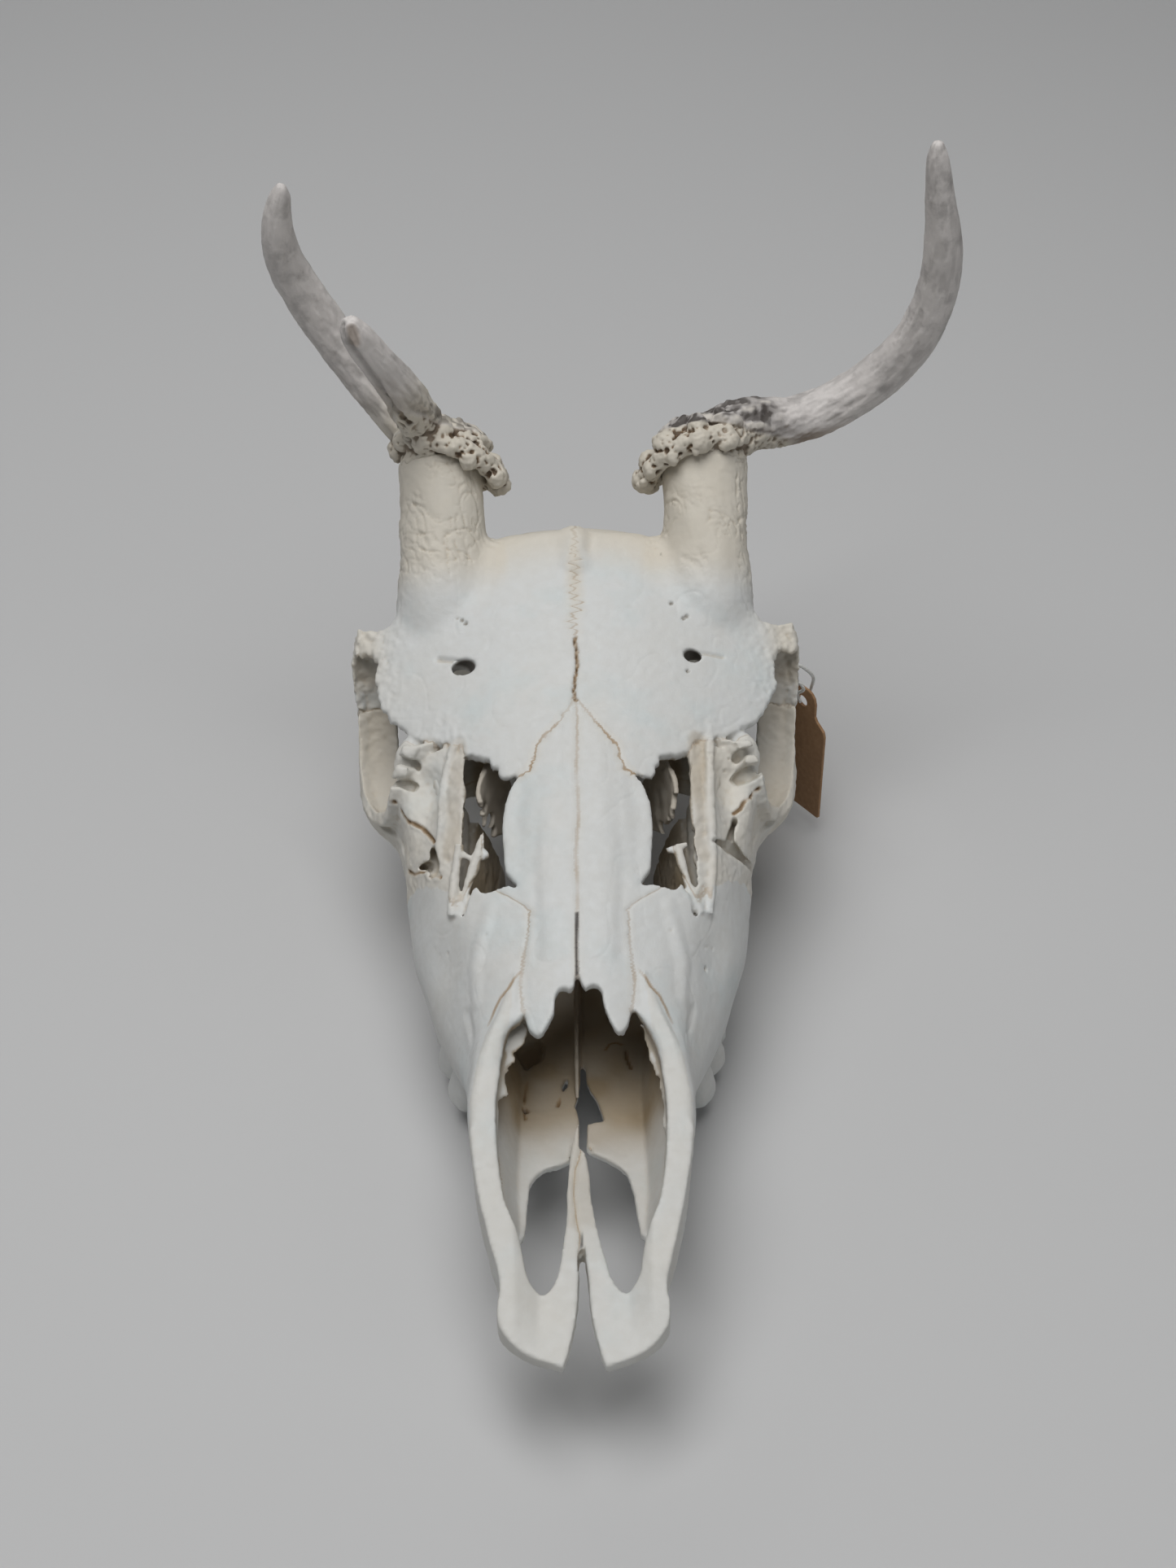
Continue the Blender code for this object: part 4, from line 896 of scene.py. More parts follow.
def face_body(word):
    """Maxilla, lacrimal and cheek bone of one side, with teeth, gaps and splinters."""
    side = SIDES[word]
    marks = [34, 55.5, 58, 60.5, 62.8, 63.2, 66, 69, 70, 72, 75, 80, 82, 123.6, 124]
    steps = np.unique(np.concatenate([marks, np.arange(36, 149, 1.6), [149.4]]))
    wall = loft([face_ring(side, float(y)) for y in steps], "face")
    others = [*cheek_plate(side), orbit_band(side), *tear_bone(word, side), *tooth_row(side)]
    whole = combine(wall, others, "UNION")
    whole = combine(whole, [vacuity(side)], "DIFFERENCE")
    bars = [rod(line, radii, 12, 24) for line, radii in SPLINTERS[word]]
    whole = combine(whole, [*bars, ledge(word, side)], "UNION")
    cuts = [slit(line, widths, sight_stroke(line, 7)) for line, widths in SLITS[word]]
    cuts += [slit(line, widths, sight_stroke(line, 3.0)) for line, widths in DUCTS[word]]
    if side > 0:
        cuts.append(slit(*SLIT_END, sight_stroke(SLIT_END[0], 10)))
    else:
        cuts += [slit(line, widths, (0, 0, 5)) for line, widths in PALATE_HOLES]
    return combine(whole, cuts, "DIFFERENCE")


def braincase_body():
    """Brain case with the hind part of the arches, the condyles and the jugular processes."""
    rings = []
    for y in np.arange(152, 256.1, 2.0):
        half, low, high = graded(BRAINCASE, y)
        middle = (low + high) / 2 - 4
        ring = []
        for turn in range(64):
            angle = 2 * math.pi * (turn + 0.5) / 64
            reach = high - middle if math.sin(angle) > 0 else middle - low
            x = half * math.copysign(abs(math.cos(angle)) ** 0.8, math.cos(angle))
            z = middle + reach * math.copysign(abs(math.sin(angle)) ** 0.85, math.sin(angle))
            ring.append((x, y, z))
        rings.append(ring)
    pieces = [loft(rings, "case")]
    crest = [(-35, 237, 36), (-30, 243, 47), (-18, 251, 53.5), (0, 255.5, 54.5), (18, 251, 53.5),
             (30, 243, 47), (35, 237, 36)]
    pieces.append(rod(crest, (3, 3.4, 3.2, 3.2, 3.2, 3.4, 3), 14, 50))
    for side in SIDES.values():
        condyle = blob((side * 11.5, 250, 24), (7.5, 9.5, 7.5), 28, 20)
        bulla = blob((side * 19, 210, 18.5), (6.5, 10.5, 7.5), 24)
        mastoid = [(30, 236, 38), (33, 238, 30), (29, 235, 22), (25, 229.5, 12), (23, 226.5, 1.9)]
        process = rod(mirrored(mastoid, side), (4, 5, 4.6, 3.6, 2.6), 20, 30, 0.6, (0, 1, 0))
        foot = prism(mirrored([(21.5, 224.5), (24.5, 224.5), (24.5, 228), (21.5, 228)], side), 0, 3)
        arch_line = [(33, 213, 46), (43, 211, 44.5), (50, 204.5, 43.5), (52, 195, 43.2), (52.2, 186, 43)]
        arch = rod(mirrored(arch_line, side), (5.5, 4.6, 3.8, 3.4, 3.2), 20, 30, 0.6)
        socket = blob((side * 41, 208, 40), (8.5, 6.5, 4.5), 24)
        pieces += [condyle, bulla, process, foot, arch, socket]
    whole = combine(pieces[0], pieces[1:], "UNION")
    foramen = rod([(0, 262, 32), (0, 250, 33), (0, 241, 35)], (9.5, 9.0, 7.5), 32, 8)
    ear = [(44, 219, 38), (36, 220, 38), (30, 221, 37)]
    ears = [rod(mirrored(ear, side), (2.6, 2.4, 2.2), 14, 6) for side in SIDES.values()]
    return combine(whole, [foramen, *ears], "DIFFERENCE")


def palatine_bodies():
    """Back of the hard palate and the walls beside the choanae."""
    plate_outline = [(-20.6, 123.8), (20.6, 123.8), (20.2, 143), (14, 144.5), (9, 140), (0, 134.5),
                     (-9, 140), (-14, 144.5), (-20.2, 143)]
    pieces = [prism(plate_outline, 17.2, 19.6)]
    for side in SIDES.values():
        foot = [(13.5, 132, 18.5), (13, 142, 17), (11.5, 155, 14.5), (10, 168, 13), (9, 180, 14.5),
                (9, 190, 20)]
        head = [(17.5, 132, 22), (17, 142, 27), (15, 155, 34), (13, 168, 34), (11.5, 180, 31), (11, 190, 28)]
        rows = [np.array(foot) * (1 - t) + np.array(head) * t for t in np.linspace(0, 1, 6)]
        rows = [spline(row, 30) for row in rows]
        pieces.append(sheet([mirrored(row, side) for row in rows], 1.8 * side))
    return pieces


def keel_body():
    """The thin keel that stands on the floor of the nose, with a torn upper edge."""
    foot = [(76, 24.4), (90, 23.0), (110, 21.4), (130, 20.4), (150, 27)]
    head = [(151.5, 52), (140, 44), (120, 33), (100, 29.5), (84, 28.2)]
    torn = ragged(head, 1.2, 0.45, 71, closed=False)
    outline = [*foot, *torn]
    bm = bmesh.new()
    for x in (-1.6, -0.6):
        bm.faces.new([bm.verts.new((x, y, z)) for y, z in outline])
    bm.verts.ensure_lookup_table()
    count = len(outline)
    for i in range(count):
        j = (i + 1) % count
        bm.faces.new([bm.verts[k] for k in (i, j, count + j, count + i)])
    bm.normal_update()
    bmesh.ops.triangulate(bm, faces=bm.faces)
    return solid("keel", bm)


def ethmoid_body(side):
    """Torn leaves of the ethmoid that show through the gap beside the nasal."""
    rows = []
    for share in np.linspace(0, 1, 12):
        front = [(14 + 5 * share, 151.4, 46 + 22 * share), (17 + 5 * share, 145, 47 + 20 * share),
                 (20 + 3.5 * share, 139, 50 + 16 * share), (22.5, 135, 54 + 10 * share)]
        rows.append(spline(mirrored(front, side), 20))
    leaf = sheet(rows, 1.2 * side)
    draw = random.Random(81 + side)
    bites = []
    for i in range(9):
        height = 46 + 22 * i / 8
        reach = 134 + draw.uniform(-1.0, 4.0)
        size = (7, draw.uniform(1.5, 3.5), draw.uniform(1.0, 1.9))
        bites.append(blob((side * 22, reach, height * 0.6 + 23), size, 10))
    return combine(leaf, bites, "DIFFERENCE")


def burr_place(side, turn, along, reach):
    """A point of an antler's burr by its angle, height and reach. It hangs lower inwards."""
    inner = math.cos(turn)
    droop = (3.4 + 2.4 * max(inner, 0)) * inner
    out = -BURR_RADIUS * reach * inner - 2.6
    return pedicle_point(side, PEDICLE_LENGTH + along - droop, out, BURR_RADIUS * reach * math.sin(turn))


def burr_pearls(side, seed, count):
    """The pearls at an antler's foot, in two rows of lobes and a third of small ones, and their middles."""
    draw = random.Random(seed)
    pieces, middles = [], []
    for row, (rise, reach, size) in enumerate(((0.8, 0.98, 3.3), (4.6, 0.88, 3.1), (7.4, 0.66, 2.0))):
        pearls = count - 2 * row
        for i in range(pearls):
            turn = 2 * math.pi * (i + 0.5 * row + draw.uniform(-0.22, 0.22)) / pearls
            radius = size * draw.uniform(0.72, 1.18)
            far = reach * draw.uniform(0.97, 1.05)
            spot = burr_place(side, turn, rise + draw.uniform(-0.9, 0.9), far)
            radii = [radius * draw.uniform(0.85, 1.15) for _ in range(3)]
            pieces.append(blob(spot, radii, 16, draw.uniform(0, 90)))
            middles.append((spot, radius, burr_place(side, turn, rise, far * 1.2)))
            for _ in range(1 + row % 2):
                small = draw.uniform(0.8, 1.4)
                aside = turn + draw.uniform(-0.2, 0.2)
                spot = burr_place(side, aside, rise + draw.uniform(-2.4, 2.0), far * 1.07)
                pieces.append(blob(spot, (small, small * 0.9, small), 10))
    return pieces, middles


def burr_core(side):
    """The foot of the beam and the low collar that carries the pearls, with a flat face to the pedicle."""
    stations = ((GAP, 11.0), (1.6, 12.6), (4.5, 11.2), (9, 8.0))
    axis = [pedicle_point(side, PEDICLE_LENGTH + along, -2.0 + 0.25 * along) for along, _ in stations]
    foot = rod(axis, [radius for _, radius in stations], 40, 14)
    turns = np.linspace(0, 2 * math.pi + 0.5, 40)
    ring = [burr_place(side, turn, 2.0, 0.93) for turn in turns]
    return [foot, rod(ring, [2.7] * len(ring), 16, 120, 1.0, pedicle_point(1, 1, 0, 0))]


BEAM_LEFT = [pedicle_point(1, PEDICLE_LENGTH + 3), (44.5, 230, 109.4), (58, 236.5, 106.6), (70, 239.5, 109.8),
             (80.5, 239.5, 118.4), (88.5, 237.5, 130.6), (92, 235, 145.6), (91.8, 233, 159),
             (89.5, 231.5, 172.5), (88, 231, 182.5), (87.7, 231, 187)]
BEAM_RIGHT = [pedicle_point(-1, PEDICLE_LENGTH + 3), (-41.5, 229, 111.5), (-51, 233, 121),
              (-59.0, 235, 132.5), (-65.5, 234.5, 145.4), (-69.8, 232.5, 157), (-70.4, 230.5, 167.6),
              (-68.8, 229.5, 176), (-68.0, 229, 179.5)]
TINE = [(-38.5, 219.5, 119), (-41.8, 213, 131.5), (-46.2, 208.5, 142), (-50.6, 205.5, 151.5),
        (-52.4, 204, 157)]
TINE_END_GROOVE = [(-51.0, 202.4, 152.2), (-51.4, 201.8, 155.6)]
TINE_GROOVE = [(-54.1, 203.7, 156), (-50.8, 202.4, 148.5), (-47, 204.7, 139.9), (-44.2, 208.6, 130.3),
               (-40.5, 211.1, 123.7)]


# The fine skin that takes the detail


class Clay:
    """A fine, even skin over closed bodies that may overlap, in millimetres."""

    def __init__(self, bodies, fineness):
        thing = bodies[0]
        bm = bmesh.new()
        for body in bodies:
            bm.from_mesh(body.data)
        bm.to_mesh(thing.data)
        bm.free()
        skin = thing.modifiers.new("skin", "REMESH")
        skin.mode = "VOXEL"
        skin.voxel_size = fineness * MM
        mesh = evaluated(thing)
        for body in bodies:
            bpy.data.objects.remove(body)
        count = len(mesh.vertices)
        flat = np.empty(count * 3, np.float32)
        mesh.vertices.foreach_get("co", flat)
        self.points = flat.reshape(-1, 3).astype(float) / MM
        corners = np.empty(len(mesh.polygons) * 4, np.int32)
        mesh.polygons.foreach_get("vertices", corners)
        self.quads = corners.reshape(-1, 4)
        ends = np.empty(len(mesh.edges) * 2, np.int32)
        mesh.edges.foreach_get("vertices", ends)
        self.ends = ends.reshape(-1, 2)
        self.masks = {}
        bpy.data.meshes.remove(mesh)
        self.refresh()

    def around(self, values, rows=slice(None)):
        """Each point's mean of the values at its neighbours."""
        a, b = self.ends[rows].T
        count = len(self.points)
        links = np.maximum(np.bincount(a, minlength=count) + np.bincount(b, minlength=count), 1)
        columns = [np.bincount(a, column[b], count) + np.bincount(b, column[a], count) for column in values.T]
        return np.stack(columns, axis=1) / links[:, None]

    def smooth(self, rounds, mask=None):
        """Relaxes the skin, all over or where the mask is."""
        if mask is None:
            for _ in range(rounds):
                self.points = self.points + 0.5 * (self.around(self.points) - self.points)
        else:
            rows = np.flatnonzero((mask[self.ends] > 0.01).any(axis=1))
            weight = 0.5 * np.where(mask > 0.01, mask, 0)[:, None]
            for _ in range(rounds):
                self.points = self.points + weight * (self.around(self.points, rows) - self.points)
        self.refresh()

    def refresh(self):
        """Finds the normals of the points as they now lie."""
        a, b, c, d = (self.points[self.quads[:, corner]] for corner in range(4))
        across = np.cross(c - a, d - b)
        total = np.zeros((len(self.points), 3))
        for corner in range(4):
            at = self.quads[:, corner]
            for axis in range(3):
                total[:, axis] += np.bincount(at, across[:, axis], len(self.points))
        self.normal = total / np.maximum(np.linalg.norm(total, axis=1, keepdims=True), 1e-9)

    def clouds(self, size, seed):
        """Smooth random values at the points."""
        return clouds(self.points, size, seed)

    def push(self, height):
        """Moves the skin out along its normals by the given heights."""
        self.points = self.points + self.normal * np.asarray(height)[:, None]

    def near(self, line, reach):
        """1 on a line through the places, falling to 0 at the reach."""
        line = np.array(line, float).reshape(-1, 3)
        low, high = line.min(axis=0) - reach, line.max(axis=0) + reach
        inside = ((self.points > low) & (self.points < high)).all(axis=1)
        share = np.zeros(len(self.points))
        if len(line) == 1:
            away = np.linalg.norm(self.points[inside] - line[0], axis=1)
        else:
            away = from_line(self.points[inside], line)
        share[inside] = 1 - np.minimum(away / reach, 1)
        return share

    def dent(self, line, radius, depth):
        """A pit or groove of the given radius and depth: a bump or ridge where the depth is below 0."""
        self.push(-depth * ease(self.near(line, radius)))

    def hollows(self, rounds):
        """How far each point lies below the skin around it: above 0 in a crevice, below 0 on an edge."""
        mean = self.points
        for _ in range(rounds):
            mean = self.around(mean)
        return ((mean - self.points) * self.normal).sum(axis=1)

    def mark(self, name, values):
        """Adds to a mask that the finish reads: the larger of the old and the new value holds."""
        values = np.clip(values, 0, 1)
        self.masks[name] = np.maximum(self.masks[name], values) if name in self.masks else values

    def trace(self, name, line, reach, strength=1.0, gain=1.6):
        """Draws a line on a mask, fading towards the reach. The strength may differ from point to point."""
        self.mark(name, strength * ease(self.near(line, reach) * gain))

    def folded(self):
        """X, Y and Z of the points, with the two sides of the skull laid on each other."""
        x, y, z = self.points.T
        return np.abs(x), y, z

    def part(self, name, node, material, slot, chosen=None):
        """Makes a piece of the chosen quads, in the packed frame and with its finish."""
        quads = self.quads if chosen is None else self.quads[chosen]
        used, order = np.unique(quads.ravel(), return_inverse=True)
        mesh = bpy.data.meshes.new(name)
        mesh.vertices.add(len(used))
        mesh.vertices.foreach_set("co", ((self.points[used] + ORIGIN) * MM).astype(np.float32).ravel())
        mesh.loops.add(len(order))
        mesh.loops.foreach_set("vertex_index", order.astype(np.int32).ravel())
        mesh.polygons.add(len(quads))
        mesh.polygons.foreach_set("loop_start", np.arange(len(quads), dtype=np.int32) * 4)
        mesh.update(calc_edges=True)
        mesh.shade_smooth()
        mesh.validate()
        for mask_name, values in self.masks.items():
            layer = mesh.attributes.new(mask_name, "FLOAT", "POINT")
            layer.data.foreach_set("value", values[used].astype(np.float32))
        mesh.materials.append(material)
        thing = placed(name, mesh)
        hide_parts(node)
        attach(thing, "root")


def solid_places(node, step):
    """Places all over a packed solid, no further apart than the step, in the bones' frame."""
    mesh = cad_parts[node].data
    mesh.calc_loop_triangles()
    flat = np.empty(len(mesh.vertices) * 3, np.float32)
    mesh.vertices.foreach_get("co", flat)
    corners = np.empty(len(mesh.loop_triangles) * 3, np.int32)
    mesh.loop_triangles.foreach_get("vertices", corners)
    places = []
    for triangle in (flat.reshape(-1, 3) / MM - ORIGIN)[corners.reshape(-1, 3)]:
        lengths = [np.linalg.norm(triangle[i] - triangle[i - 1]) for i in range(3)]
        a, b, c = np.roll(triangle, 1 - int(np.argmax(lengths)), axis=0)
        area = np.linalg.norm(np.cross(b - a, c - a)) / 2
        across = max(int(max(lengths) / step), 1)
        over = max(int(2 * area / max(max(lengths), 1e-6) / step), 1)
        u, v = np.meshgrid(np.linspace(0, 1, across + 1), np.linspace(0, 1, over + 1))
        u, v = u.ravel(), v.ravel()
        keep = u + v <= 1.0001
        places.append(a + np.outer(u[keep], b - a) + np.outer(v[keep], c - a))
    return np.vstack(places)


def meander(y):
    """How far the suture on the midline strays to the side, by the place along it."""
    draw = np.random.default_rng(5)
    steps = np.cumsum(draw.uniform(0.45, 1.35, 200)) + 76
    turns = np.where(np.arange(200) % 2, 1, -1) * draw.uniform(0.25, 1.1, 200)
    fold = np.interp(y, steps, turns) + np.interp(y, np.arange(76, 210, 0.42), draw.uniform(-0.5, 0.5, 320))
    strength = np.interp(y, (80, 100, 150, 156, 168, 171, 176, 186, 198, 204),
                         (0.08, 0.12, 0.1, 0.2, 0.25, 0.6, 1.5, 1.8, 1.6, 0.7))
    drift = np.interp(y, (80, 92, 104, 114, 124, 135, 150, 158, 165, 172),
                      (0.5, 0.6, 0.2, 0.5, -0.3, 0.1, -0.3, 0.5, -0.4, 0))
    return strength * fold + drift


def label_skin(clay):
    """Gives each point of the skin to the packed solid it lies over, with grown, ragged borders."""
    places, owners = [], []
    for i, node in enumerate(SKIN_NODES):
        found = solid_places(node, 0.8)
        places.append(found)
        owners += [i] * len(found)
    places = np.vstack(places)
    tree = KDTree(len(places))
    for i, place in enumerate(places.tolist()):
        tree.insert(place, i)
    tree.balance()
    points = clay.points
    x, y, z = clay.folded()
    toothed = 0.5 * above(y, 131, 3) * below(x, 21, 3) * above(z, 60, 4)
    rough = 0.75 * above(x, 21, 3) * above(y, 112, 5)
    amount = (0.10 + np.maximum(toothed, rough)) * (0.1 + 0.9 * above(x, 1.5, 3))
    wild = [0.75 * clouds(points, 1.9, seed) + 0.4 * clouds(points, 0.9, seed + 3) for seed in (1, 2, 3)]
    query = points + amount[:, None] * np.stack(wild, axis=1)
    query[:, 0] += np.where((x < 4) & (y > 75), meander(y), 0)
    tips = np.interp(y, (33, 36.5, 42, 46, 53, 58), (0.7, 1.3, 1.75, 2.0, 1.7, 0.2))
    query[:, 0] += np.where((x < 6) & (y < 66) & (z < 36), tips, 0)
    shoulder = below(y, 100, 12) * below(x, 16, 2) * above(y, 70, 2)
    query[:, 0] += np.where(points[:, 0] < -8, shoulder, 0)
    query = query.tolist()
    found = [tree.find(place) for place in query]
    clay.owner = np.array([owners[i] for _, i, _ in found])
    borders = (clay.owner[clay.ends[:, 0]] != clay.owner[clay.ends[:, 1]]).nonzero()[0]
    away = np.full(len(points), 9.0)
    away[clay.ends[borders].ravel()] = 0.2
    length = np.linalg.norm(points[clay.ends[:, 0]] - points[clay.ends[:, 1]], axis=1)
    a, b = clay.ends.T
    for _ in range(5):
        step = away.copy()
        np.minimum.at(step, a, away[b] + length)
        np.minimum.at(step, b, away[a] + length)
        away = step
    clay.border = np.full(len(points), 3.0)
    for i in np.flatnonzero(away < 2.4).tolist():
        mine = owners[found[i][1]]
        _, _, other = tree.find(query[i], filter=lambda j: owners[j] != mine)
        clay.border[i] = min(other - found[i][2], 3.0)


# Shader maths


class Value:
    """A shader socket that adds its Math nodes when it is used in an expression."""

    def __init__(self, tree, socket):
        self.tree = tree
        self.socket = socket

    def node(self, kind, inputs=(), output=0, **settings):
        """Any other node: its type, the values or links of its sockets, and its settings, set first."""
        made = self.tree.nodes.new(kind)
        for name, value in settings.items():
            setattr(made, name, value)
        self.feed(made, inputs)
        return Value(self.tree, made.outputs[output])

    def feed(self, node, inputs):
        """Links values to a node's sockets, and sets the other sockets to the numbers or colours."""
        for name, value in dict(inputs).items():
            if isinstance(value, Value):
                self.tree.links.new(value.socket, node.inputs[name])
            else:
                node.inputs[name].default_value = value

    def _math(self, operation, *values):
        return self.node("ShaderNodeMath", dict(enumerate(values)), operation=operation)

    def __add__(self, other):
        return self._math("ADD", self, other)

    def __radd__(self, other):
        return self._math("ADD", other, self)

    def __sub__(self, other):
        return self._math("SUBTRACT", self, other)

    def __rsub__(self, other):
        return self._math("SUBTRACT", other, self)

    def __mul__(self, other):
        return self._math("MULTIPLY", self, other)

    def __rmul__(self, other):
        return self._math("MULTIPLY", other, self)

    def clamp(self):
        return self.node("ShaderNodeMath", {0: self, 1: 0.0}, operation="ADD", use_clamp=True)

    def blend(self, first, second):
        """The first colour where this value is 0 and the second where it is 1."""
        mix = {0: self, 6: first, 7: second}
        return self.node("ShaderNodeMix", mix, output=2, data_type="RGBA")


def colour4(value, factor=1.0):
    """A colour as a socket takes it, darker or lighter by the factor."""
    return (*(min(factor * part, 1.0) for part in value), 1.0)


def new_material(name):
    """A material, its Principled shader, and a Value to start expressions from."""
    material = bpy.data.materials.new(name)
    material.use_nodes = True
    tree = material.node_tree
    coordinates = tree.nodes.new("ShaderNodeTexCoord")
    return material, tree.nodes["Principled BSDF"], Value(tree, coordinates.outputs["Object"])


def mask(start, name):
    """An attribute of the skin."""
    return start.node("ShaderNodeAttribute", attribute_name=name, output=2)


def noise(start, scale, detail, rough):
    """Fractal noise over the piece."""
    inputs = {"Vector": start, "Scale": scale, "Detail": detail, "Roughness": rough}
    return start.node("ShaderNodeTexNoise", inputs)


def cloud_mask(start, scale, detail, low, high, rough=0.55):
    """Noise between a low and a high value, spread to 0 to 1."""
    return start.node("ShaderNodeMapRange", {0: noise(start, scale, detail, rough), 1: low, 2: high})


def pores(start, scale, rough, strength, depth):
    """The normal of a surface with fine pores, their depth in metres."""
    height = noise(start, scale, 5, rough)
    return start.node("ShaderNodeBump", {"Strength": strength, "Distance": depth, "Height": height})


def bone_material():
    """Dry bone: cool and warm patches, stained sutures and crevices, fine pores."""
    settings = bpy.context.scene.skull_bones
    material, surface, start = new_material("dry_bone")
    cool, warm = colour4(settings.cool), colour4(settings.warm)
    patches = cloud_mask(start, 45, 4, 0.35, 0.7)
    fibres = cloud_mask(start, 420, 3, 0.3, 0.75)
    warm_share = (0.06 + 0.85 * mask(start, "warm") + 0.22 * (patches - 0.5)).clamp()
    body = warm_share.blend(cool, warm)
    blue = tuple(part * tint for part, tint in zip(settings.cool, (0.89, 0.97, 0.99)))
    body = (0.6 * cloud_mask(start, 60, 5, 0.52, 0.72) * (1 - warm_share)).blend(body, colour4(blue))
    body = (0.14 * fibres).blend(body, colour4(settings.warm, 0.72))
    body = (0.92 * mask(start, "inside")).clamp().blend(body, colour4(settings.inner))
    # Partly stain, partly painted shade: the crevice mask darkens hollows, holes and the underside with this
    # brown
    stain = tuple(0.6 * a + 0.4 * b for a, b in zip(settings.inner, settings.warm))
    body = (0.6 * mask(start, "crevice")).clamp().blend(body, colour4(stain))
    rim = mask(start, "rim")
    halo = (0.35 * (1.0 - 0.3 * rim * rim)).clamp() * mask(start, "seam")
    body = halo.blend(body, warm)
    line = (1.0 - 8.0 * rim * rim).clamp() * mask(start, "seam")
    body = (line + mask(start, "line")).clamp().blend(body, colour4(settings.seam))
    body = (0.7 * mask(start, "stain")).blend(body, BONE_STAIN)
    # Painted shade: the dark mask puts near-black into pits, holes, slits and cracks
    body = mask(start, "dark").blend(body, BONE_SHADE)
    rough = 0.46 + 0.12 * fibres + 0.15 * mask(start, "warm")
    bump = pores(start, 1500, 0.62, 0.16, 0.0003)
    start.feed(surface, {"Base Color": body, "Roughness": rough, "Normal": bump, "Specular IOR Level": 0.4})
    return material


def antler_material():
    """Weathered antler: mottled grey-brown with dark furrows, cream pearls with dark crevices."""
    bones, settings = bpy.context.scene.skull_bones, bpy.context.scene.skull_antlers
    material, surface, start = new_material("antler_horn")
    patches = cloud_mask(start, 60, 6, 0.35, 0.65, 0.65)
    body = patches.blend(colour4(settings.beam), colour4(settings.beam, 1.3))
    streaks = cloud_mask(start, 160, 5, 0.52, 0.66, 0.6)
    body = (0.4 * streaks).blend(body, colour4(settings.beam, 0.45))
    body = mask(start, "pearl").blend(body, colour4(bones.warm, 0.92))
    # Stain between the pearls, and painted shade on the undersides near the foot
    body = mask(start, "stain").blend(body, ANTLER_STAIN_AND_SHADE)
    body = mask(start, "dark").blend(body, colour4(settings.dark))
    bump = pores(start, 900, 0.6, 0.25, 0.0004)
    start.feed(surface, {"Base Color": body, "Roughness": 0.5 + 0.25 * patches, "Normal": bump})
    return material


def fibre_material(name, scale, detail, colours, rough):
    """Card or string: two close colours in fine fibres."""
    material, surface, start = new_material(name)
    body = cloud_mask(start, scale, detail, 0.3, 0.7).blend(*colours)
    start.feed(surface, {"Base Color": body, "Roughness": rough})
    return material


# The pieces


def fine(scale=1.0):
    """Edge length of a skin, coarser in a quick run."""
    return bpy.context.scene.skull_bones.skin * scale * 1.0


def on_roof(*places):
    """The places on the skull's roof that are given by their x and y."""
    return [(x, y, float(roof(x, y))) for x, y in places]


def build_skin():
    """Joins the bodies of the skull under one skin and finds the sutures between its bones."""
    bodies = []
    for word, side in SIDES.items():
        bodies += [nasal_body(side), *frontal_bodies(side), premaxilla_body(side), face_body(word)]
    bodies += [braincase_body(), *palatine_bodies()]
    clay = Clay(bodies, fine())
    label_skin(clay)
    x, y, z = clay.folded()
    thin = above(x, 18, 4) * above(y, 100, 4) * ease((30 - np.abs(y - 125)) / 4) * above(z, 40, 5)
    teeth = below(z, 18.5, 3) * above(y, 74, 3) * below(y, 150, 3)
    clay.smooth(1)
    clay.smooth(2, np.clip(1 - thin - teeth, 0, 1))
    work["skin"] = clay


def within(clay, bone, word):
    """1 on one bone and 0 elsewhere."""
    return (clay.owner == SKIN_NODES.index(f"{bone}_{word}")).astype(float)


def pedicle_place(points, side):
    """How far along a pedicle each point lies from its foot, and how far from its axis."""
    foot = np.array(pedicle_point(side, 0))
    axis = np.array(pedicle_point(side, 1)) - foot
    along = (points - foot) @ axis
    return along, np.linalg.norm(points - foot - along[:, None] * axis, axis=1)


def shape_frontal(clay, word, side):
    """One frontal: the soft foot and the wrinkles of its pedicle, and its crumbly rims."""
    along, away = pedicle_place(clay.points, side)
    root = ease(1.4 - np.abs(away - 13.0) / 7) * ease(1.3 - np.abs(along - 1) / 15)
    clay.smooth(200, root * above(clay.points[:, 2], 74, 5))
    along, away = pedicle_place(clay.points, side)
    stem = ease((along + 2) / 9) * ease(1 - (away - 14) / 3)
    skewed = clay.points @ np.array([[1, 0.45, 0], [0.2, 0.55, 0.2], [0, 0, 0.6]])
    patch = ease(clay.clouds(7.0, 33 + side) * 1.5 + 0.7)
    for seed, size, depth in ((9, 3.2, 0.27), (14, 2.0, 0.22), (23, 4.6, 0.26), (35, 1.3, 0.17)):
        crease = ease(1 - np.abs(clouds(skewed, size, seed + side)) / 0.13)
        clay.push(-depth * crease * stem * patch)
    clay.push(stem * 0.35 * clouds(skewed, 5.0, 41 + side))
    clay.refresh()
    edge = ease(1 - (54 - np.abs(clay.points[:, 0])) / 16) * above(clay.points[:, 1], 150, 10)
    rim = ease(1 - (np.abs(clay.points[:, 1] - 149) + np.abs(np.abs(clay.points[:, 0]) - 33)) / 14)
    crumbs = np.maximum(edge, 0.8 * rim) * within(clay, "frontal", word)
    clay.push(crumbs * (0.36 * clay.clouds(1.6, 29 + side) + 0.24 * clay.clouds(0.9, 27)))


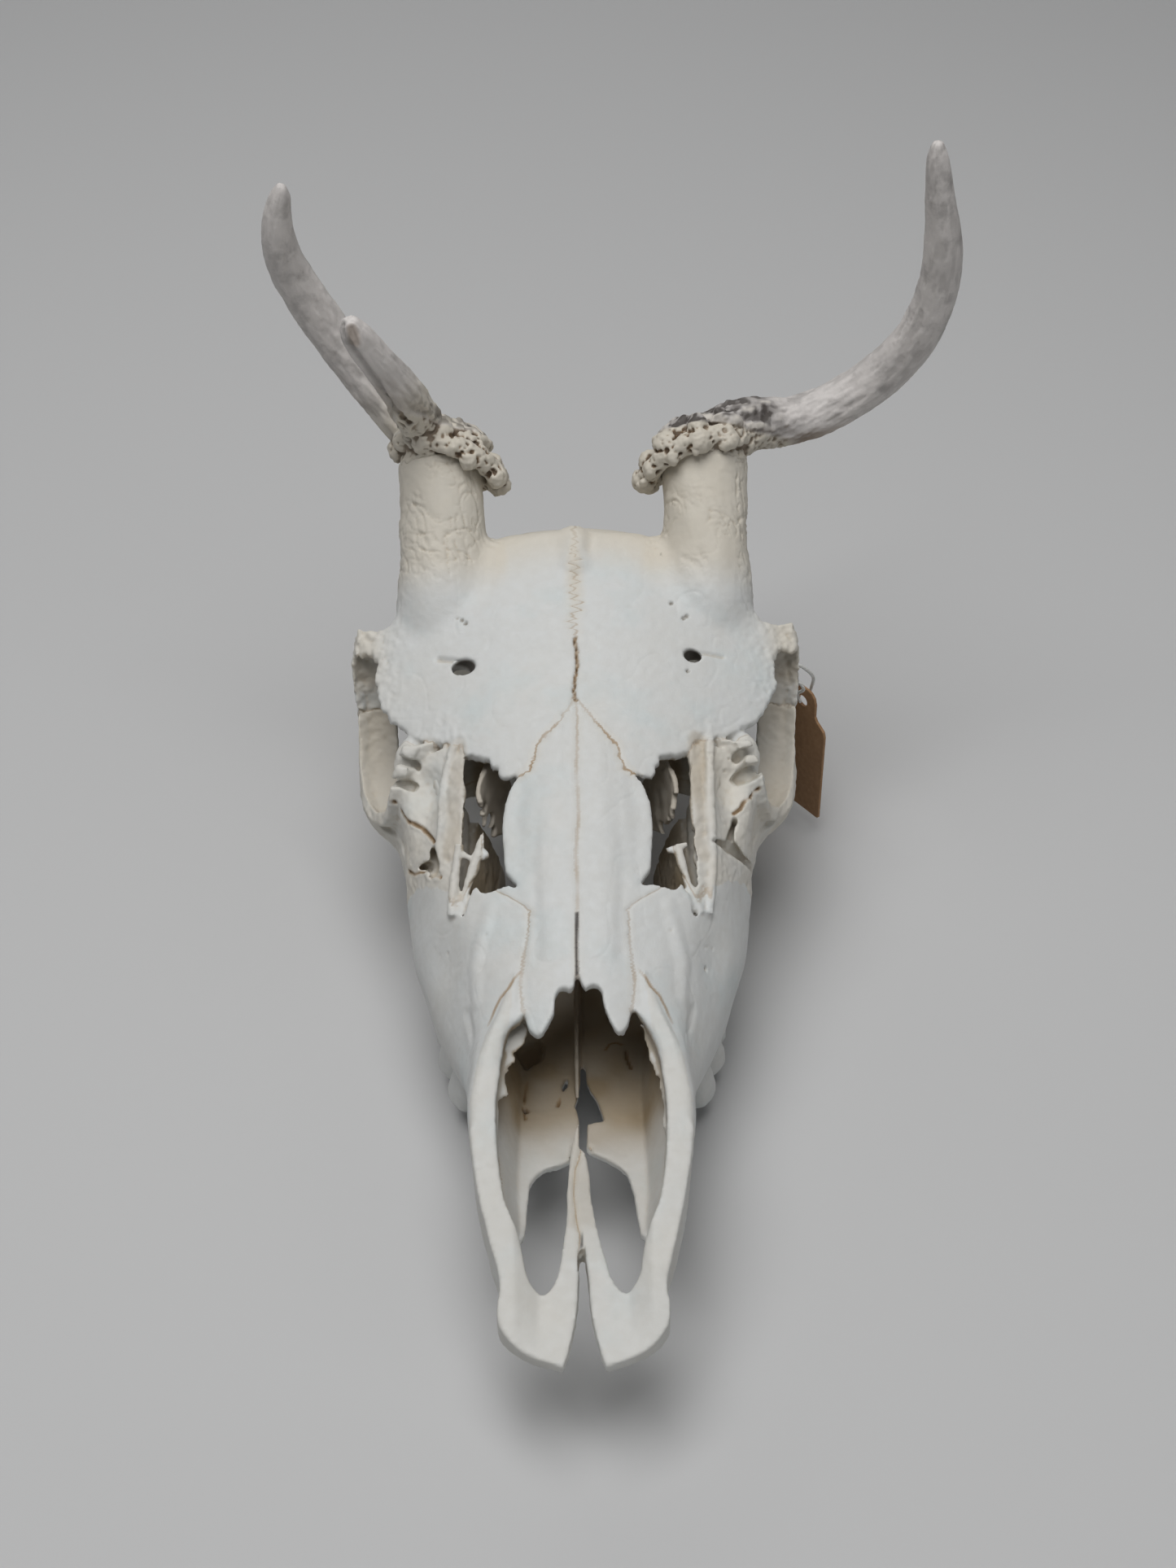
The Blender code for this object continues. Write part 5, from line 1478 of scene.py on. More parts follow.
def build_forehead():
    """Shapes the two frontals, the boss on the crest, and the pits, cracks and holes."""
    clay = work["skin"]
    for word, side in SIDES.items():
        shape_frontal(clay, word, side)
    clay.dent([(0, 194, 93), (0, 201, 94.6), (0, 206, 94)], 5.2, -1.5)
    clay.dent([(3.6, 198, 94), (4.4, 204, 94.5)], 2.2, 0.35)
    clay.dent(on_roof((-28.5, 169.2), (-30.6, 170.6), (-34.0, 172.0)), 1.5, 0.9)
    clay.dent(on_roof((29.8, 171.4), (33.2, 172.2), (36.8, 172.5)), 1.0, 0.5)
    for pit in FOREHEAD_PITS:
        # Painted shade in each pit
        clay.trace("dark", on_roof(pit), 0.7, 0.5)
        clay.dent(on_roof(pit), 0.8, 0.9)
    crack = on_roof((22.0, 198.4), (23.4, 195.6), (23.0, 193.0), (25.0, 190.6))
    clay.dent(crack, 0.6, 0.3)
    # Painted shade in the crack
    clay.trace("dark", crack, 0.5, 0.4)
    under = roof(clay.points[:, 0], clay.points[:, 1]) - clay.points[:, 2]
    # Painted shade inside the holes above the orbits, through the crevice and dark masks
    for x, y in ((-27.7, 168.5), (28.9, 171.0)):
        away = np.hypot(clay.points[:, 0] - x, clay.points[:, 1] - y)
        hole = below(away, 3.4, 0.6) * above(under, 0.7, 0.8)
        clay.mark("crevice", hole)
        clay.mark("dark", 0.8 * hole)
    veins = np.abs(clay.clouds(9.0, 25))
    clay.push(-0.09 * ease(1 - veins / 0.05) * ease(2 - under))
    clay.refresh()


def build_nose():
    """Shapes the nasal bones: a long furrow beside a rounded back, and the slit between them."""
    clay = work["skin"]
    for side in SIDES.values():
        clay.dent(on_roof((side * 13.2, 112), (side * 14.4, 124), (side * 13.0, 133)), 3.6, 0.35)
        clay.dent(on_roof((side * 5.0, 148), (side * 6.4, 120), (side * 6.0, 90)), 4.5, -0.3)
        clay.dent(on_roof((side * 10.6, 118), (side * 10.2, 104), (side * 9.6, 90)), 2.6, 0.25)
    slit_line = on_roof(*((float(-meander(y)), y) for y in (80, 84, 88, 92, 96, 99)))
    # Painted shade in the slit between the nasals
    clay.mark("dark", ease(clay.near(slit_line, 0.8) * 2.0 - 0.6) * above(clay.points[:, 2], 50, 2))
    steps = enumerate(np.arange(155, 172.5, 0.95))
    crack = on_roof(*((float(-meander(y)) + 0.2 * (-1) ** i, y) for i, y in steps))
    high = above(clay.points[:, 2], 70, 2)
    clay.trace("line", crack, 0.45, 0.8 * high, 1)
    # Painted shade in the crack, beside its suture stain
    clay.trace("dark", crack, 0.3, 0.7 * high, 1)
    clay.dent(crack, 0.5, 0.6)
    clay.refresh()


def flake_floor(clay, floor):
    """Sinks and stains the spot where the nose's floor has flaked off."""
    middle = np.mean(FLOOR_BREAK, axis=0)
    off = clay.points[:, :2] - middle
    turn = np.arctan2(off[:, 1], off[:, 0])
    corners = np.array(FLOOR_BREAK) - middle
    order = np.argsort(np.arctan2(corners[:, 1], corners[:, 0]))
    angles = np.arctan2(corners[order, 1], corners[order, 0])
    reach = np.interp(turn, angles, np.linalg.norm(corners[order], axis=1), period=2 * math.pi)
    broken = ease((reach - np.linalg.norm(off, axis=1)) / 0.7 + 0.5) * floor
    clay.push(-1.5 * broken)
    clay.mark("inside", broken)
    clay.mark("stain", 0.5 * broken)


def build_snout():
    """Shapes the jaws' sides and the inside of the nose's opening."""
    clay = work["skin"]
    x, y, z = clay.points.T
    inside = inside_share(clay)
    step = ease(1 - np.abs(clay.border - 0.4) / 2.6) * (1 - inside)
    step = step * below(y, 94, 4) * above(np.abs(x), 14, 2) * above(z, 26, 2)
    clay.smooth(40, step)
    x, y, z = clay.points.T
    for side in SIDES.values():
        clay.dent([(side * 29.5, 100, 49)], 11, 1.0)
        clay.dent([(side * 33.5, 104, 30)], 10, 0.9)
        clay.dent([(side * 25, 84, 46), (side * 22.5, 74, 45), (side * 20.5, 66, 46)], 2.6, 0.6)
        clay.dent([(side * 21.2, 104, 61.0), (side * 24.2, 92, 53.6), (side * 24.0, 84, 50.5)], 3.0, -0.55)
        draw = random.Random(31 + side)
        for _ in range(26):
            spot = (side * draw.uniform(20, 33), draw.uniform(84, 112), 0)
            height = np.interp(abs(spot[0]), (18, 26, 33), (60, 55, 46))
            clay.dent([(spot[0], spot[1], height)], draw.uniform(0.5, 0.9), 0.25)
    clay.dent([(29.5, 95.5, 47.5)], 1.0, 0.8)
    small_crack = [(-38.6, 106.5, 44), (-36.9, 105.2, 46.5), (-35.6, 103.2, 48)]
    clay.dent(small_crack, 0.6, 0.35)
    # Painted shade in the small crack
    clay.trace("dark", small_crack, 0.5, 0.4)
    # Each crack takes the suture stain along it and painted shade in it; the last is the slit along the
    # palate's midline
    for line, width, depth in FLOOR_CRACKS:
        clay.trace("line", line, 0.9 * width)
        clay.trace("dark", line, 0.75 * width, 0.6 * depth, 1.4)
        clay.dent(line, 0.9 * width, depth)
    for side, tip in ((-1, 96), (1, 95)):
        top = [(-12.2, tip, 60), (-12.8, 87.6, 56.7), (-14.6, 85.3, 56.4), (-16.1, 82.9, 55.6),
               (-17.9, 81.6, 54.2), (-19.3, 79.0, 52.8), (-20.6, 75.4, 51.6)]
        line = mirrored(top, -side)
        clay.dent(line[1:5], 0.6, 0.2)
        clay.trace("line", line[1:], 0.62, 0.75 * above(clay.points[:, 1], 73, 6), 1.5)
    # Painted shade in the slit between the premaxillae's front bars
    clay.trace("dark", [(-0.5, 34.5, 31.7), (-0.2, 30, 32.1), (0, 26, 32.2)], 0.5, 0.8, 1.5)
    flake_floor(clay, inside * (z < 34) * (z > 20))
    clay.refresh()


def build_orbits():
    """Shapes the lacrimals and the cheek bones."""
    clay = work["skin"]
    x, y, z = clay.folded()
    joint = ease(1 - np.abs(z - 46.5) / 5) * above(x, 43, 4) * above(y, 146, 4) * below(y, 182, 4)
    clay.smooth(14, joint)
    for word, side in SIDES.items():
        bar, flange = BARS[word]
        x, y, z = clay.folded()
        ducts = ease(1 - np.abs(x - 43) / 6) * ease(1 - np.abs(y - 147) / 7) * ease(1 - np.abs(z - 65.5) / 8)
        clay.smooth(8, np.minimum(ducts * 1.6, 1) * (clay.points[:, 0] * side > 0))
        clay.dent([(side * 35.6, 143.4, 63.6), (side * 35.4, 139.6, 62.4)], 5.0, 1.0)
        clay.trace("flange", spline(bar[:4], 12) * 0.3 + spline(flange[:4], 12) * 0.7, 3.2, 1, 2)
        for line in CRACKS[word]:
            clay.dent(np.array(line) + (0.4 * side, -0.6, 0.3), 1.3, -0.4)
            clay.trace("line", line, 0.75, 1, 1.5)
            # Painted shade in the open suture
            clay.trace("dark", line, 0.55, 0.5, 1.5)
            clay.dent(line, 0.75, 0.9)
        tear = within(clay, "lacrimal", word)
        cheek = within(clay, "zygomatic", word)
        rough = above(clay.points[:, 1], 126, 8)
        torn = clay.masks["flange"] * (clay.points[:, 0] * side > 0)
        waves = 0.5 * clay.clouds(4.2, 71 + side) + 0.25 * clay.clouds(1.7, 75 + side)
        clay.push(torn * waves)
        clay.push((0.2 * tear * rough + 0.2 * cheek + 0.25 * ducts) * clay.clouds(2.2, 61 + side))
        clay.push((0.14 * tear + 0.14 * cheek + 0.1 * ducts) * clay.clouds(1.0, 65 + side))
        clay.dent([(side * 40.5, 136.5, 57.0)], 0.9, 0.8)
        draw = random.Random(47 + side)
        for _ in range(40):
            spot = (side * draw.uniform(31, 45), draw.uniform(143, 151), draw.uniform(62, 71.5))
            clay.dent([spot], 0.7, 0.45)
    clay.refresh()


def build_hind_part():
    """Shapes the brain case."""
    clay = work["skin"]
    for side in SIDES.values():
        ridge = [(side * 33, 206, 84), (side * 31, 220, 79), (side * 24, 234, 70), (side * 14, 246, 60)]
        clay.dent(ridge, 2.8, -0.8)
        clay.dent([(side * 36, 214, 60), (side * 37, 222, 52), (side * 34, 232, 47)], 1.3, 0.5)
        clay.dent([(side * 7, 253, 44)], 7, 1.2)
    seams = ([(-34, 236, 60), (-22, 238, 69), (-8, 236, 73), (0, 235.5, 73.8), (8, 236, 73), (22, 238, 69),
              (34, 236, 60)],
             [(0, 213, 88), (0, 224, 81), (0, 236, 73)])
    for line in seams:
        clay.dent(line, 1.0, 0.5)
        clay.trace("line", line, 1.0, 0.6, 1.3)
    clay.refresh()


def inside_share(clay):
    """1 on the walls and floor inside the nose, 0 outside."""
    x, y, z = clay.points.T
    wall, _, floor = np.moveaxis(graded(CAVITY, y), -1, 0)
    face = graded(FACE, y)
    middle = (floor + face[:, 1]) / 2
    toward = -clay.normal[:, 0] * x / 12 + clay.normal[:, 2] * (middle - z) / 12
    reach = ease((wall + 8 - np.abs(x)) / 2) * ease((face[:, 1] - 0.5 - z) / 1.5) * ease(z - floor + 1.5)
    return ease(toward * 2.2 + 0.3) * reach * above(y, 33, 4)


def build_bones():
    """Stains the skin, sinks its sutures and parts it into one piece for each bone."""
    clay = work["skin"]
    x, y, z = clay.points.T
    depth = bpy.context.scene.skull_bones.grain
    wear = clay.clouds(4.0, 131)
    snout = below(y, 96, 8)
    joined = above(np.abs(x), 29.5, 1.5) * above(y, 110, 3) * below(y, 150, 3)
    clay.push(-(0.2 - 0.14 * snout) * (1 - joined) * ease(1.1 - clay.border / 0.7))
    bars = below(z, 36, 2) * below(y, 66, 2) * ease(6 - np.abs(x))
    clay.push(-0.5 * bars * ease(1.1 - clay.border / 1.1))
    waves = 0.13 * clay.clouds(7.0, 141) + 0.05 * clay.clouds(3.1, 142)
    clay.push(waves + depth * clay.clouds(1.3, 143))
    clay.refresh()
    outer = (1 - inside_share(clay)) * above(np.abs(x), 13.2, 1.5)
    brown = above(y, 132, 4) * below(y, 160, 3) * below(np.abs(x), 20, 3) * above(np.abs(x), 3, 3)
    cheek = joined * above(z, 40, 4)
    tips = below(z, 36, 2) * below(y, 66, 2)
    strength = (0.34 + 0.2 * wear + 0.4 * brown + 0.2 * tips) * (1 - snout * outer) * (1 - cheek)
    clay.mark("seam", strength)
    clay.mark("warm", ease(1 - np.abs(x) / 4.0) * above(y, 168, 24) * above(z, 80, 4))
    # Painted shade in the hollows of the skin, partly the stain that gathers there
    hollow = clay.hollows(6)
    clay.mark("crevice", ease(hollow / 0.22 - 0.25) * 0.8)
    inside = inside_share(clay)
    blotch = clay.clouds(6.0, 5)
    deep = (0.25 + 0.75 * above(y, 54, 20)) * (1 - 0.15 * above(y, 86, 12))
    clay.mark("inside", inside * deep * (0.9 + 0.25 * blotch))
    # Partly the bone's own brown, partly painted shade: the flange beside each bar takes some inner colour
    clay.mark("inside", 0.45 * clay.masks["flange"] * (0.7 + 0.4 * blotch))
    for word, side in SIDES.items():
        along, away = pedicle_place(clay.points, side)
        clay.mark("warm", ease((along + 4) / 12) * ease(1 - (away - 16) / 6))
        rim = ease(1 - np.abs(np.abs(x) - 54) / 9) * above(y, 166, 12) * above(z, 60, 4)
        clay.mark("warm", 0.8 * rim)
        for bone, share in (("lacrimal", 0.55), ("zygomatic", 0.75)):
            clay.mark("warm", within(clay, bone, word) * (share + 0.2 * blotch))
        clay.mark("warm", 0.3 * within(clay, "premaxilla", word))
    # Partly brown, partly painted shade: the orbit band's face toward the eye takes some inner colour
    toward = (ORBIT_MIDDLE - clay.points[:, 1:]) / 20
    facing = (clay.normal[:, 1:] * toward).sum(axis=1)
    band = ease(facing * 2 - 0.6) * above(np.abs(x), 44, 2) * below(y, 186, 3) * above(y, 146, 4)
    band = band * ease((24 - np.linalg.norm(toward, axis=1) * 20) / 2)
    clay.mark("inside", 0.32 * band)
    clay.mark("warm", above(y, 188, 16))
    clay.mark("warm", 0.7 * (clay.owner == SKIN_NODES.index("braincase")))
    # Painted shade under the skull, between the teeth and the palate
    under = below(z, 18, 3) * above(y, 76, 3) * below(y, 150, 3)
    clay.mark("crevice", under * ease(hollow / 0.2) * 1.2)
    finish = bone_material()
    of_quad = clay.owner[clay.quads[:, 0]]
    for i, node in enumerate(SKIN_NODES):
        clay.masks["rim"] = np.where(clay.owner == i, clay.border, -clay.border)
        bone, _, word = node.partition("_")
        name = f"{bone}_bone_{word}" if word else bone + "_bone"
        clay.part(name, node, finish, bone, of_quad == i)


def build_keel():
    """Makes the keel inside the nose."""
    clay = Clay([keel_body()], fine(0.75))
    clay.push(0.12 * clay.clouds(2.6, 85))
    clay.mark("inside", np.full(len(clay.points), 0.7))
    clay.part("keel_bone", "vomer", bpy.data.materials["dry_bone"], "vomer")


def build_scrolls():
    """Makes the torn leaves of the ethmoids."""
    for word, side in SIDES.items():
        clay = Clay([ethmoid_body(side)], fine(0.75))
        clay.smooth(1)
        clay.push(0.3 * clay.clouds(3.0, 91 + side))
        clay.mark("inside", np.full(len(clay.points), 0.6))
        clay.part("ethmoid_bone_" + word, "ethmoid_" + word, bpy.data.materials["dry_bone"], "ethmoid")


def beam_frame(points, line):
    """How far along a beam's line each point lies, its distance from it, and its angle round it."""
    curve = spline(line, 60)
    lengths = run_lengths(curve)
    nearest = np.empty(len(points), int)
    for start in range(0, len(points), 20000):
        block = points[start : start + 20000]
        nearest[start : start + 20000] = ((block[:, None, :] - curve[None]) ** 2).sum(axis=2).argmin(axis=1)
    ahead, side, up = curve_frame(curve, (0, 1, 0.2))
    off = points - curve[nearest]
    along = lengths[nearest] + (off * ahead[nearest]).sum(axis=1)
    turn = np.arctan2((off * up[nearest]).sum(axis=1), (off * side[nearest]).sum(axis=1))
    return along, np.linalg.norm(off, axis=1), turn


def furrows(along, turn, seed):
    """Long shallow gutters that run with a beam."""
    wrapped = np.column_stack([along * 0.085, 1.5 * np.cos(turn), 1.5 * np.sin(turn)])
    return clouds(wrapped, 0.44, seed) + 0.6 * clouds(wrapped, 0.21, seed + 2)


def build_antler(bodies, pearls, line, side):
    """Furrows and knobs along a beam, pearls at its foot, and the stains between them."""
    settings = bpy.context.scene.skull_antlers
    clay = Clay(bodies, fine(0.78))
    clay.smooth(2)
    for tip in (line[-1], TINE[-1]) if side < 0 else (line[-1],):
        clay.smooth(40, ease(clay.near([tip], 5.5) * 2))
    points = clay.points
    along, away, turn = beam_frame(points, line)
    furrow = furrows(along, turn, 101 + side)
    low = ease(1 - along / 30)
    if side < 0:
        tine_along, tine_away, tine_turn = beam_frame(points, TINE)
        on_tine = tine_away < away
        furrow = np.where(on_tine, furrows(tine_along, tine_turn, 121), furrow)
        low = np.where(on_tine, ease(1 - tine_along / 26), low)
    rise, out = pedicle_place(points, side)
    rise = rise - PEDICLE_LENGTH
    pearly = below(rise, 7.4, 1.6) * above(out, 7, 2)
    bare = 1 - pearly
    fade = ease(1.15 - along / along.max())
    depth = settings.flute * (0.6 + 1.2 * low) * (0.35 + fade) * bare
    clay.push(depth * np.clip(furrow, -1, 0.5))
    knobs = clouds(points, 2.0, 107 + side)
    clay.push(low * bare * 0.7 * ease(knobs * 2.2 - 0.6) * (0.2 if side < 0 else 1.0))
    clay.push(pearly * (0.34 * clouds(points, 1.6, 109 + side) + 0.2 * clouds(points, 0.8, 112)))
    clay.push(0.05 * clouds(points, 0.9, 111))
    for spot, radius, face in pearls:
        clay.dent([tuple(np.array(spot) + (np.array(face) - spot) * 0.55)], 0.45 * radius, 0.4)
    if side < 0:
        clay.refresh()
        clay.dent(TINE_GROOVE, 1.6, 1.1)
        clay.dent(TINE_END_GROOVE, 1.8, 0.7)
    clay.refresh()
    hollow = clay.hollows(24) + 2.0 * clay.hollows(8)
    low_hollow, high_hollow = np.quantile(hollow[pearly > 0.5], (0.62, 0.90))
    crevice = ease((hollow - low_hollow) / (high_hollow - low_hollow))
    clay.push(-0.45 * pearly * crevice)
    clay.refresh()
    outward = (np.abs(points[:, 0]) - PEDICLE_FOOT[0]) / 12
    medial = ease(0.5 - outward)
    base = below(along, 24, 10)
    ridge = ease(furrow * 2.2)
    clay.mark("pearl", pearly)
    # Painted shade: faces that look down, near the foot, are darkened through the stain mask
    under = ease(0.3 - clay.normal[:, 2] * 1.2) * below(along, 46, 18) * bare
    pepper = ease(clouds(points, 1.3, 113) * 1.8 + 0.4)
    gutter = ease(furrow * -2.0 - 0.1)
    if side < 0:
        clay.mark("pearl", bare * 0.95 * np.clip(low * 1.8, 0, 1) * (0.8 + 0.2 * ridge))
        soot = 0.15 * gutter * low + 0.05 * low * pepper + 0.08 * gutter
        # Painted shade on the undersides, through the stain mask
        clay.mark("stain", 0.2 * under)
    else:
        clay.mark("pearl", bare * 0.5 * ridge * base)
        soot = base * (0.35 + 0.45 * pepper) * (1 - 0.8 * ridge) + 0.5 * gutter * low + 0.15 * gutter
        # Painted shade on the undersides, through the stain mask
        clay.mark("stain", 0.75 * under)
    top = above(rise, 4.5, 3) * below(rise, 13, 4) * ease(0.75 - outward)
    clay.mark("stain", pearly * ease(crevice * 1.3) * (0.55 + 0.45 * medial))
    clay.mark("dark", np.clip(bare * soot + 0.6 * top * bare * pepper, 0, 0.92))
    clay.mark("dark", pearly * ease(crevice * 2 - 1.1) * (0.2 + 0.5 * medial))
    if side < 0:
        clay.trace("dark", TINE_GROOVE, 1.5, 0.4, 1.4)
        clay.trace("stain", TINE_END_GROOVE, 2.1, 0.5)
    return clay


def build_antlers():
    """Makes the two beams and the right one's brow tine."""
    count = bpy.context.scene.skull_antlers.pearls
    horn = antler_material()
    beam = rod(BEAM_LEFT, (8.5, 7.2, 6.3, 6.2, 6.0, 5.6, 5.2, 4.7, 3.6, 2.6, 1.4), 36, 90)
    lobes, pearls = burr_pearls(1, 11, count)
    clay = build_antler([*burr_core(1), beam, *lobes], pearls, BEAM_LEFT, 1)
    clay.part("antler_beam_left", "antler_left_beam", horn, "antler")
    beam = rod(BEAM_RIGHT, (8.5, 6.6, 5.8, 5.4, 5.4, 4.8, 3.8, 2.6, 1.2), 36, 80)
    tine = rod(TINE, (5.6, 5.2, 4.4, 3.8, 2.2), 32, 44)
    lobes, pearls = burr_pearls(-1, 7, count)
    clay = build_antler([*burr_core(-1), beam, tine, *lobes], pearls, BEAM_RIGHT, -1)
    near_tine = beam_frame(clay.points, TINE)[1] - 1.0 < beam_frame(clay.points, BEAM_RIGHT)[1]
    past_burr = pedicle_place(clay.points, -1)[0] > PEDICLE_LENGTH + 6
    of_tine = (near_tine & past_burr)[clay.quads[:, 0]]
    clay.part("antler_beam_right", "antler_right_beam", horn, "antler", ~of_tine)
    clay.part("antler_tine_right", "antler_right_brow_tine", horn, "antler", of_tine)


def on_tag(across, up, out):
    """A point of the hanging card: across and up it, and out from its face."""
    x, y, z = TAG_PLACE
    cos, sin = math.cos(TAG_TURN), math.sin(TAG_TURN)
    return (x + cos * across + sin * out, y + sin * across - cos * out, z + up)


def dress(thing, node, material):
    """Moves a plain piece into the packed frame and gives it its finish."""
    thing.data.transform(Matrix.Translation(Vector(ORIGIN * MM)))
    thing.data.materials.clear()
    thing.data.materials.append(material)
    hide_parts(node)
    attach(thing, "root")


def build_card():
    """Makes the bare card, with rounded corners and a punched hole."""
    width, height, thickness = TAG_SIZE
    half, neck = width / 2, width / 2 - 4.2
    right = [(half - 0.5, 0), (half, 0.5), (half, TAG_SHOULDER - 1.6), (half - 0.5, TAG_SHOULDER),
             (neck + 0.8, TAG_SHOULDER + 2.0), (neck, TAG_SHOULDER + 3.2), (neck, height - 3.4),
             (neck - 0.6, height - 1.5), (neck - 1.7, height - 0.4), (neck - 3.1, height)]
    left = [(-across, up) for across, up in reversed(right)]
    edges = ((0.0, 0.12), (0.12, 0.0), (thickness - 0.12, 0.0), (thickness, 0.12))
    faces = []
    for out, shrink in edges:
        outline = np.array(right + left)
        middle = outline.mean(axis=0)
        outline = middle + (outline - middle) * (1 - shrink / half)
        faces.append([on_tag(across, up, out) for across, up in outline])
    card = loft(faces, "label_card")
    axis = [on_tag(0, TAG_HOLE_UP, out) for out in (-2, 3)]
    hole = rod(axis, [TAG_HOLE_RADIUS] * 2, 32, 2)
    card = combine(card, [hole], "DIFFERENCE")
    dress(card, "label_tag", fibre_material("brown_card", 700, 4, CARD_COLOURS, 0.85))


def build_string():
    """Makes the twisted string, from behind the card round the left cheek arch and back to its front."""
    up = TAG_HOLE_UP
    gap = STRING_RADIUS + GAP
    behind = TAG_SIZE[2] + gap
    line = [on_tag(0, up, behind), on_tag(-0.6, up + 4, behind + 0.8), (62.7, 194.6, 53.4),
            (60.8, 191.6, 58.2), (57.4, 190.0, 61.6), (52.0, 190.0, 60.5), (48.4, 191.0, 54.5),
            (47.6, 191.6, 45.5), (49.2, 191.6, 39.2), (53.4, 191.6, 37.6), (57.4, 191.0, 41.5),
            (57.2, 190.0, 49.0), (57.0, 189.0, 55.0), (58.0, 188.6, 57.0), (59.6, 189.2, 54.0),
            on_tag(0.4, up + 3, -gap - 0.8), on_tag(0, up, -gap)]
    path = spline(line, 900)
    _, side, over = curve_frame(path, (0.3, 0.2, 1))
    turns = np.arange(12) * 2 * math.pi / 12
    rings = []
    for point, across, lift, length in zip(path, side, over, run_lengths(path)):
        reach = STRING_RADIUS * (0.86 + 0.14 * np.cos(3 * (turns - length * 1.4)))
        rings.append(point + np.outer(np.cos(turns) * reach, across) + np.outer(np.sin(turns) * reach, lift))
    string = loft(rings, "label_cord")
    for face in string.data.polygons:
        face.use_smooth = True
    cotton = fibre_material("cotton_string", 1500, 3, STRING_COLOURS, 0.9)
    dress(string, "label_string", cotton)


def build_tag():
    """Makes the card and its string."""
    build_card()
    build_string()


# The stage


def build_table(colour):
    """Makes the plain table top."""
    bpy.ops.mesh.primitive_plane_add(size=6, location=(0, 0, 0))
    floor = bpy.context.active_object
    floor.name = "table_top"
    material = bpy.data.materials.new("table_top")
    material.use_nodes = True
    surface = material.node_tree.nodes["Principled BSDF"]
    surface.inputs["Base Color"].default_value = colour4(colour)
    surface.inputs["Roughness"].default_value = 0.7
    floor.data.materials.append(material)


def build_lights(key, fill):
    """Makes three soft lights and the dim surroundings."""
    target = Vector((0, 0, 0.06))
    lights = (
        ("key_light", (-0.12, -0.10, 1.25), (0.95, 0.85), key),
        ("fill_light", (0.9, -0.7, 0.7), (0.7, 0.7), fill),
        ("back_light", (-0.3, 1.1, 0.8), (0.8, 0.5), fill),
    )
    for name, place, size, power in lights:
        light = bpy.data.lights.new(name, "AREA")
        light.shape = "RECTANGLE"
        light.size, light.size_y = size
        light.energy = power
        lamp = placed(name, light)
        lamp.location = place
        lamp.rotation_euler = (target - Vector(place)).to_track_quat("-Z", "Y").to_euler()
    world = bpy.data.worlds.new("studio")
    world.use_nodes = True
    background = world.node_tree.nodes["Background"].inputs
    background["Color"].default_value = (0.86, 0.88, 0.9, 1)
    background["Strength"].default_value = 0.10
    bpy.context.scene.world = world
    bpy.context.scene.view_settings.view_transform = "Standard"


def build_camera(lens):
    """Makes the camera at the photograph's angle."""
    ahead = np.array([0, math.cos(CAMERA_DOWN), -math.sin(CAMERA_DOWN)])
    lift = np.array([0, math.sin(CAMERA_DOWN), math.cos(CAMERA_DOWN)])
    right = np.array([1.0, 0, 0])
    across = right * math.cos(CAMERA_ROLL) + lift * math.sin(CAMERA_ROLL)
    over = lift * math.cos(CAMERA_ROLL) - right * math.sin(CAMERA_ROLL)
    camera = placed("camera", bpy.data.cameras.new("camera"))
    place = Matrix(np.column_stack([across, over, -ahead]).tolist()).to_4x4()
    place.translation = Vector((np.array(CAMERA_PLACE) + ORIGIN) * MM)
    camera.matrix_world = place
    camera.data.lens = lens
    camera.data.sensor_width = 36
    camera.data.sensor_fit = "AUTO"
    camera.data.clip_start = 0.01
    bpy.context.scene.camera = camera


def build_stage():
    """Makes the table, the lights and the camera."""
    settings = bpy.context.scene.skull_stage
    build_table(settings.floor)
    build_lights(settings.key, settings.fill)
    build_camera(settings.lens)


# Operators and panel


def step_operator(name, label, about, build):
    """An Operator class for one group of the skull."""

    def execute(self, context):
        build()
        return {"FINISHED"}

    parts = {"__doc__": about, "bl_idname": "skull." + name, "bl_label": label, "execute": execute}
    return type("SKULL_OT_" + name, (bpy.types.Operator,), parts)


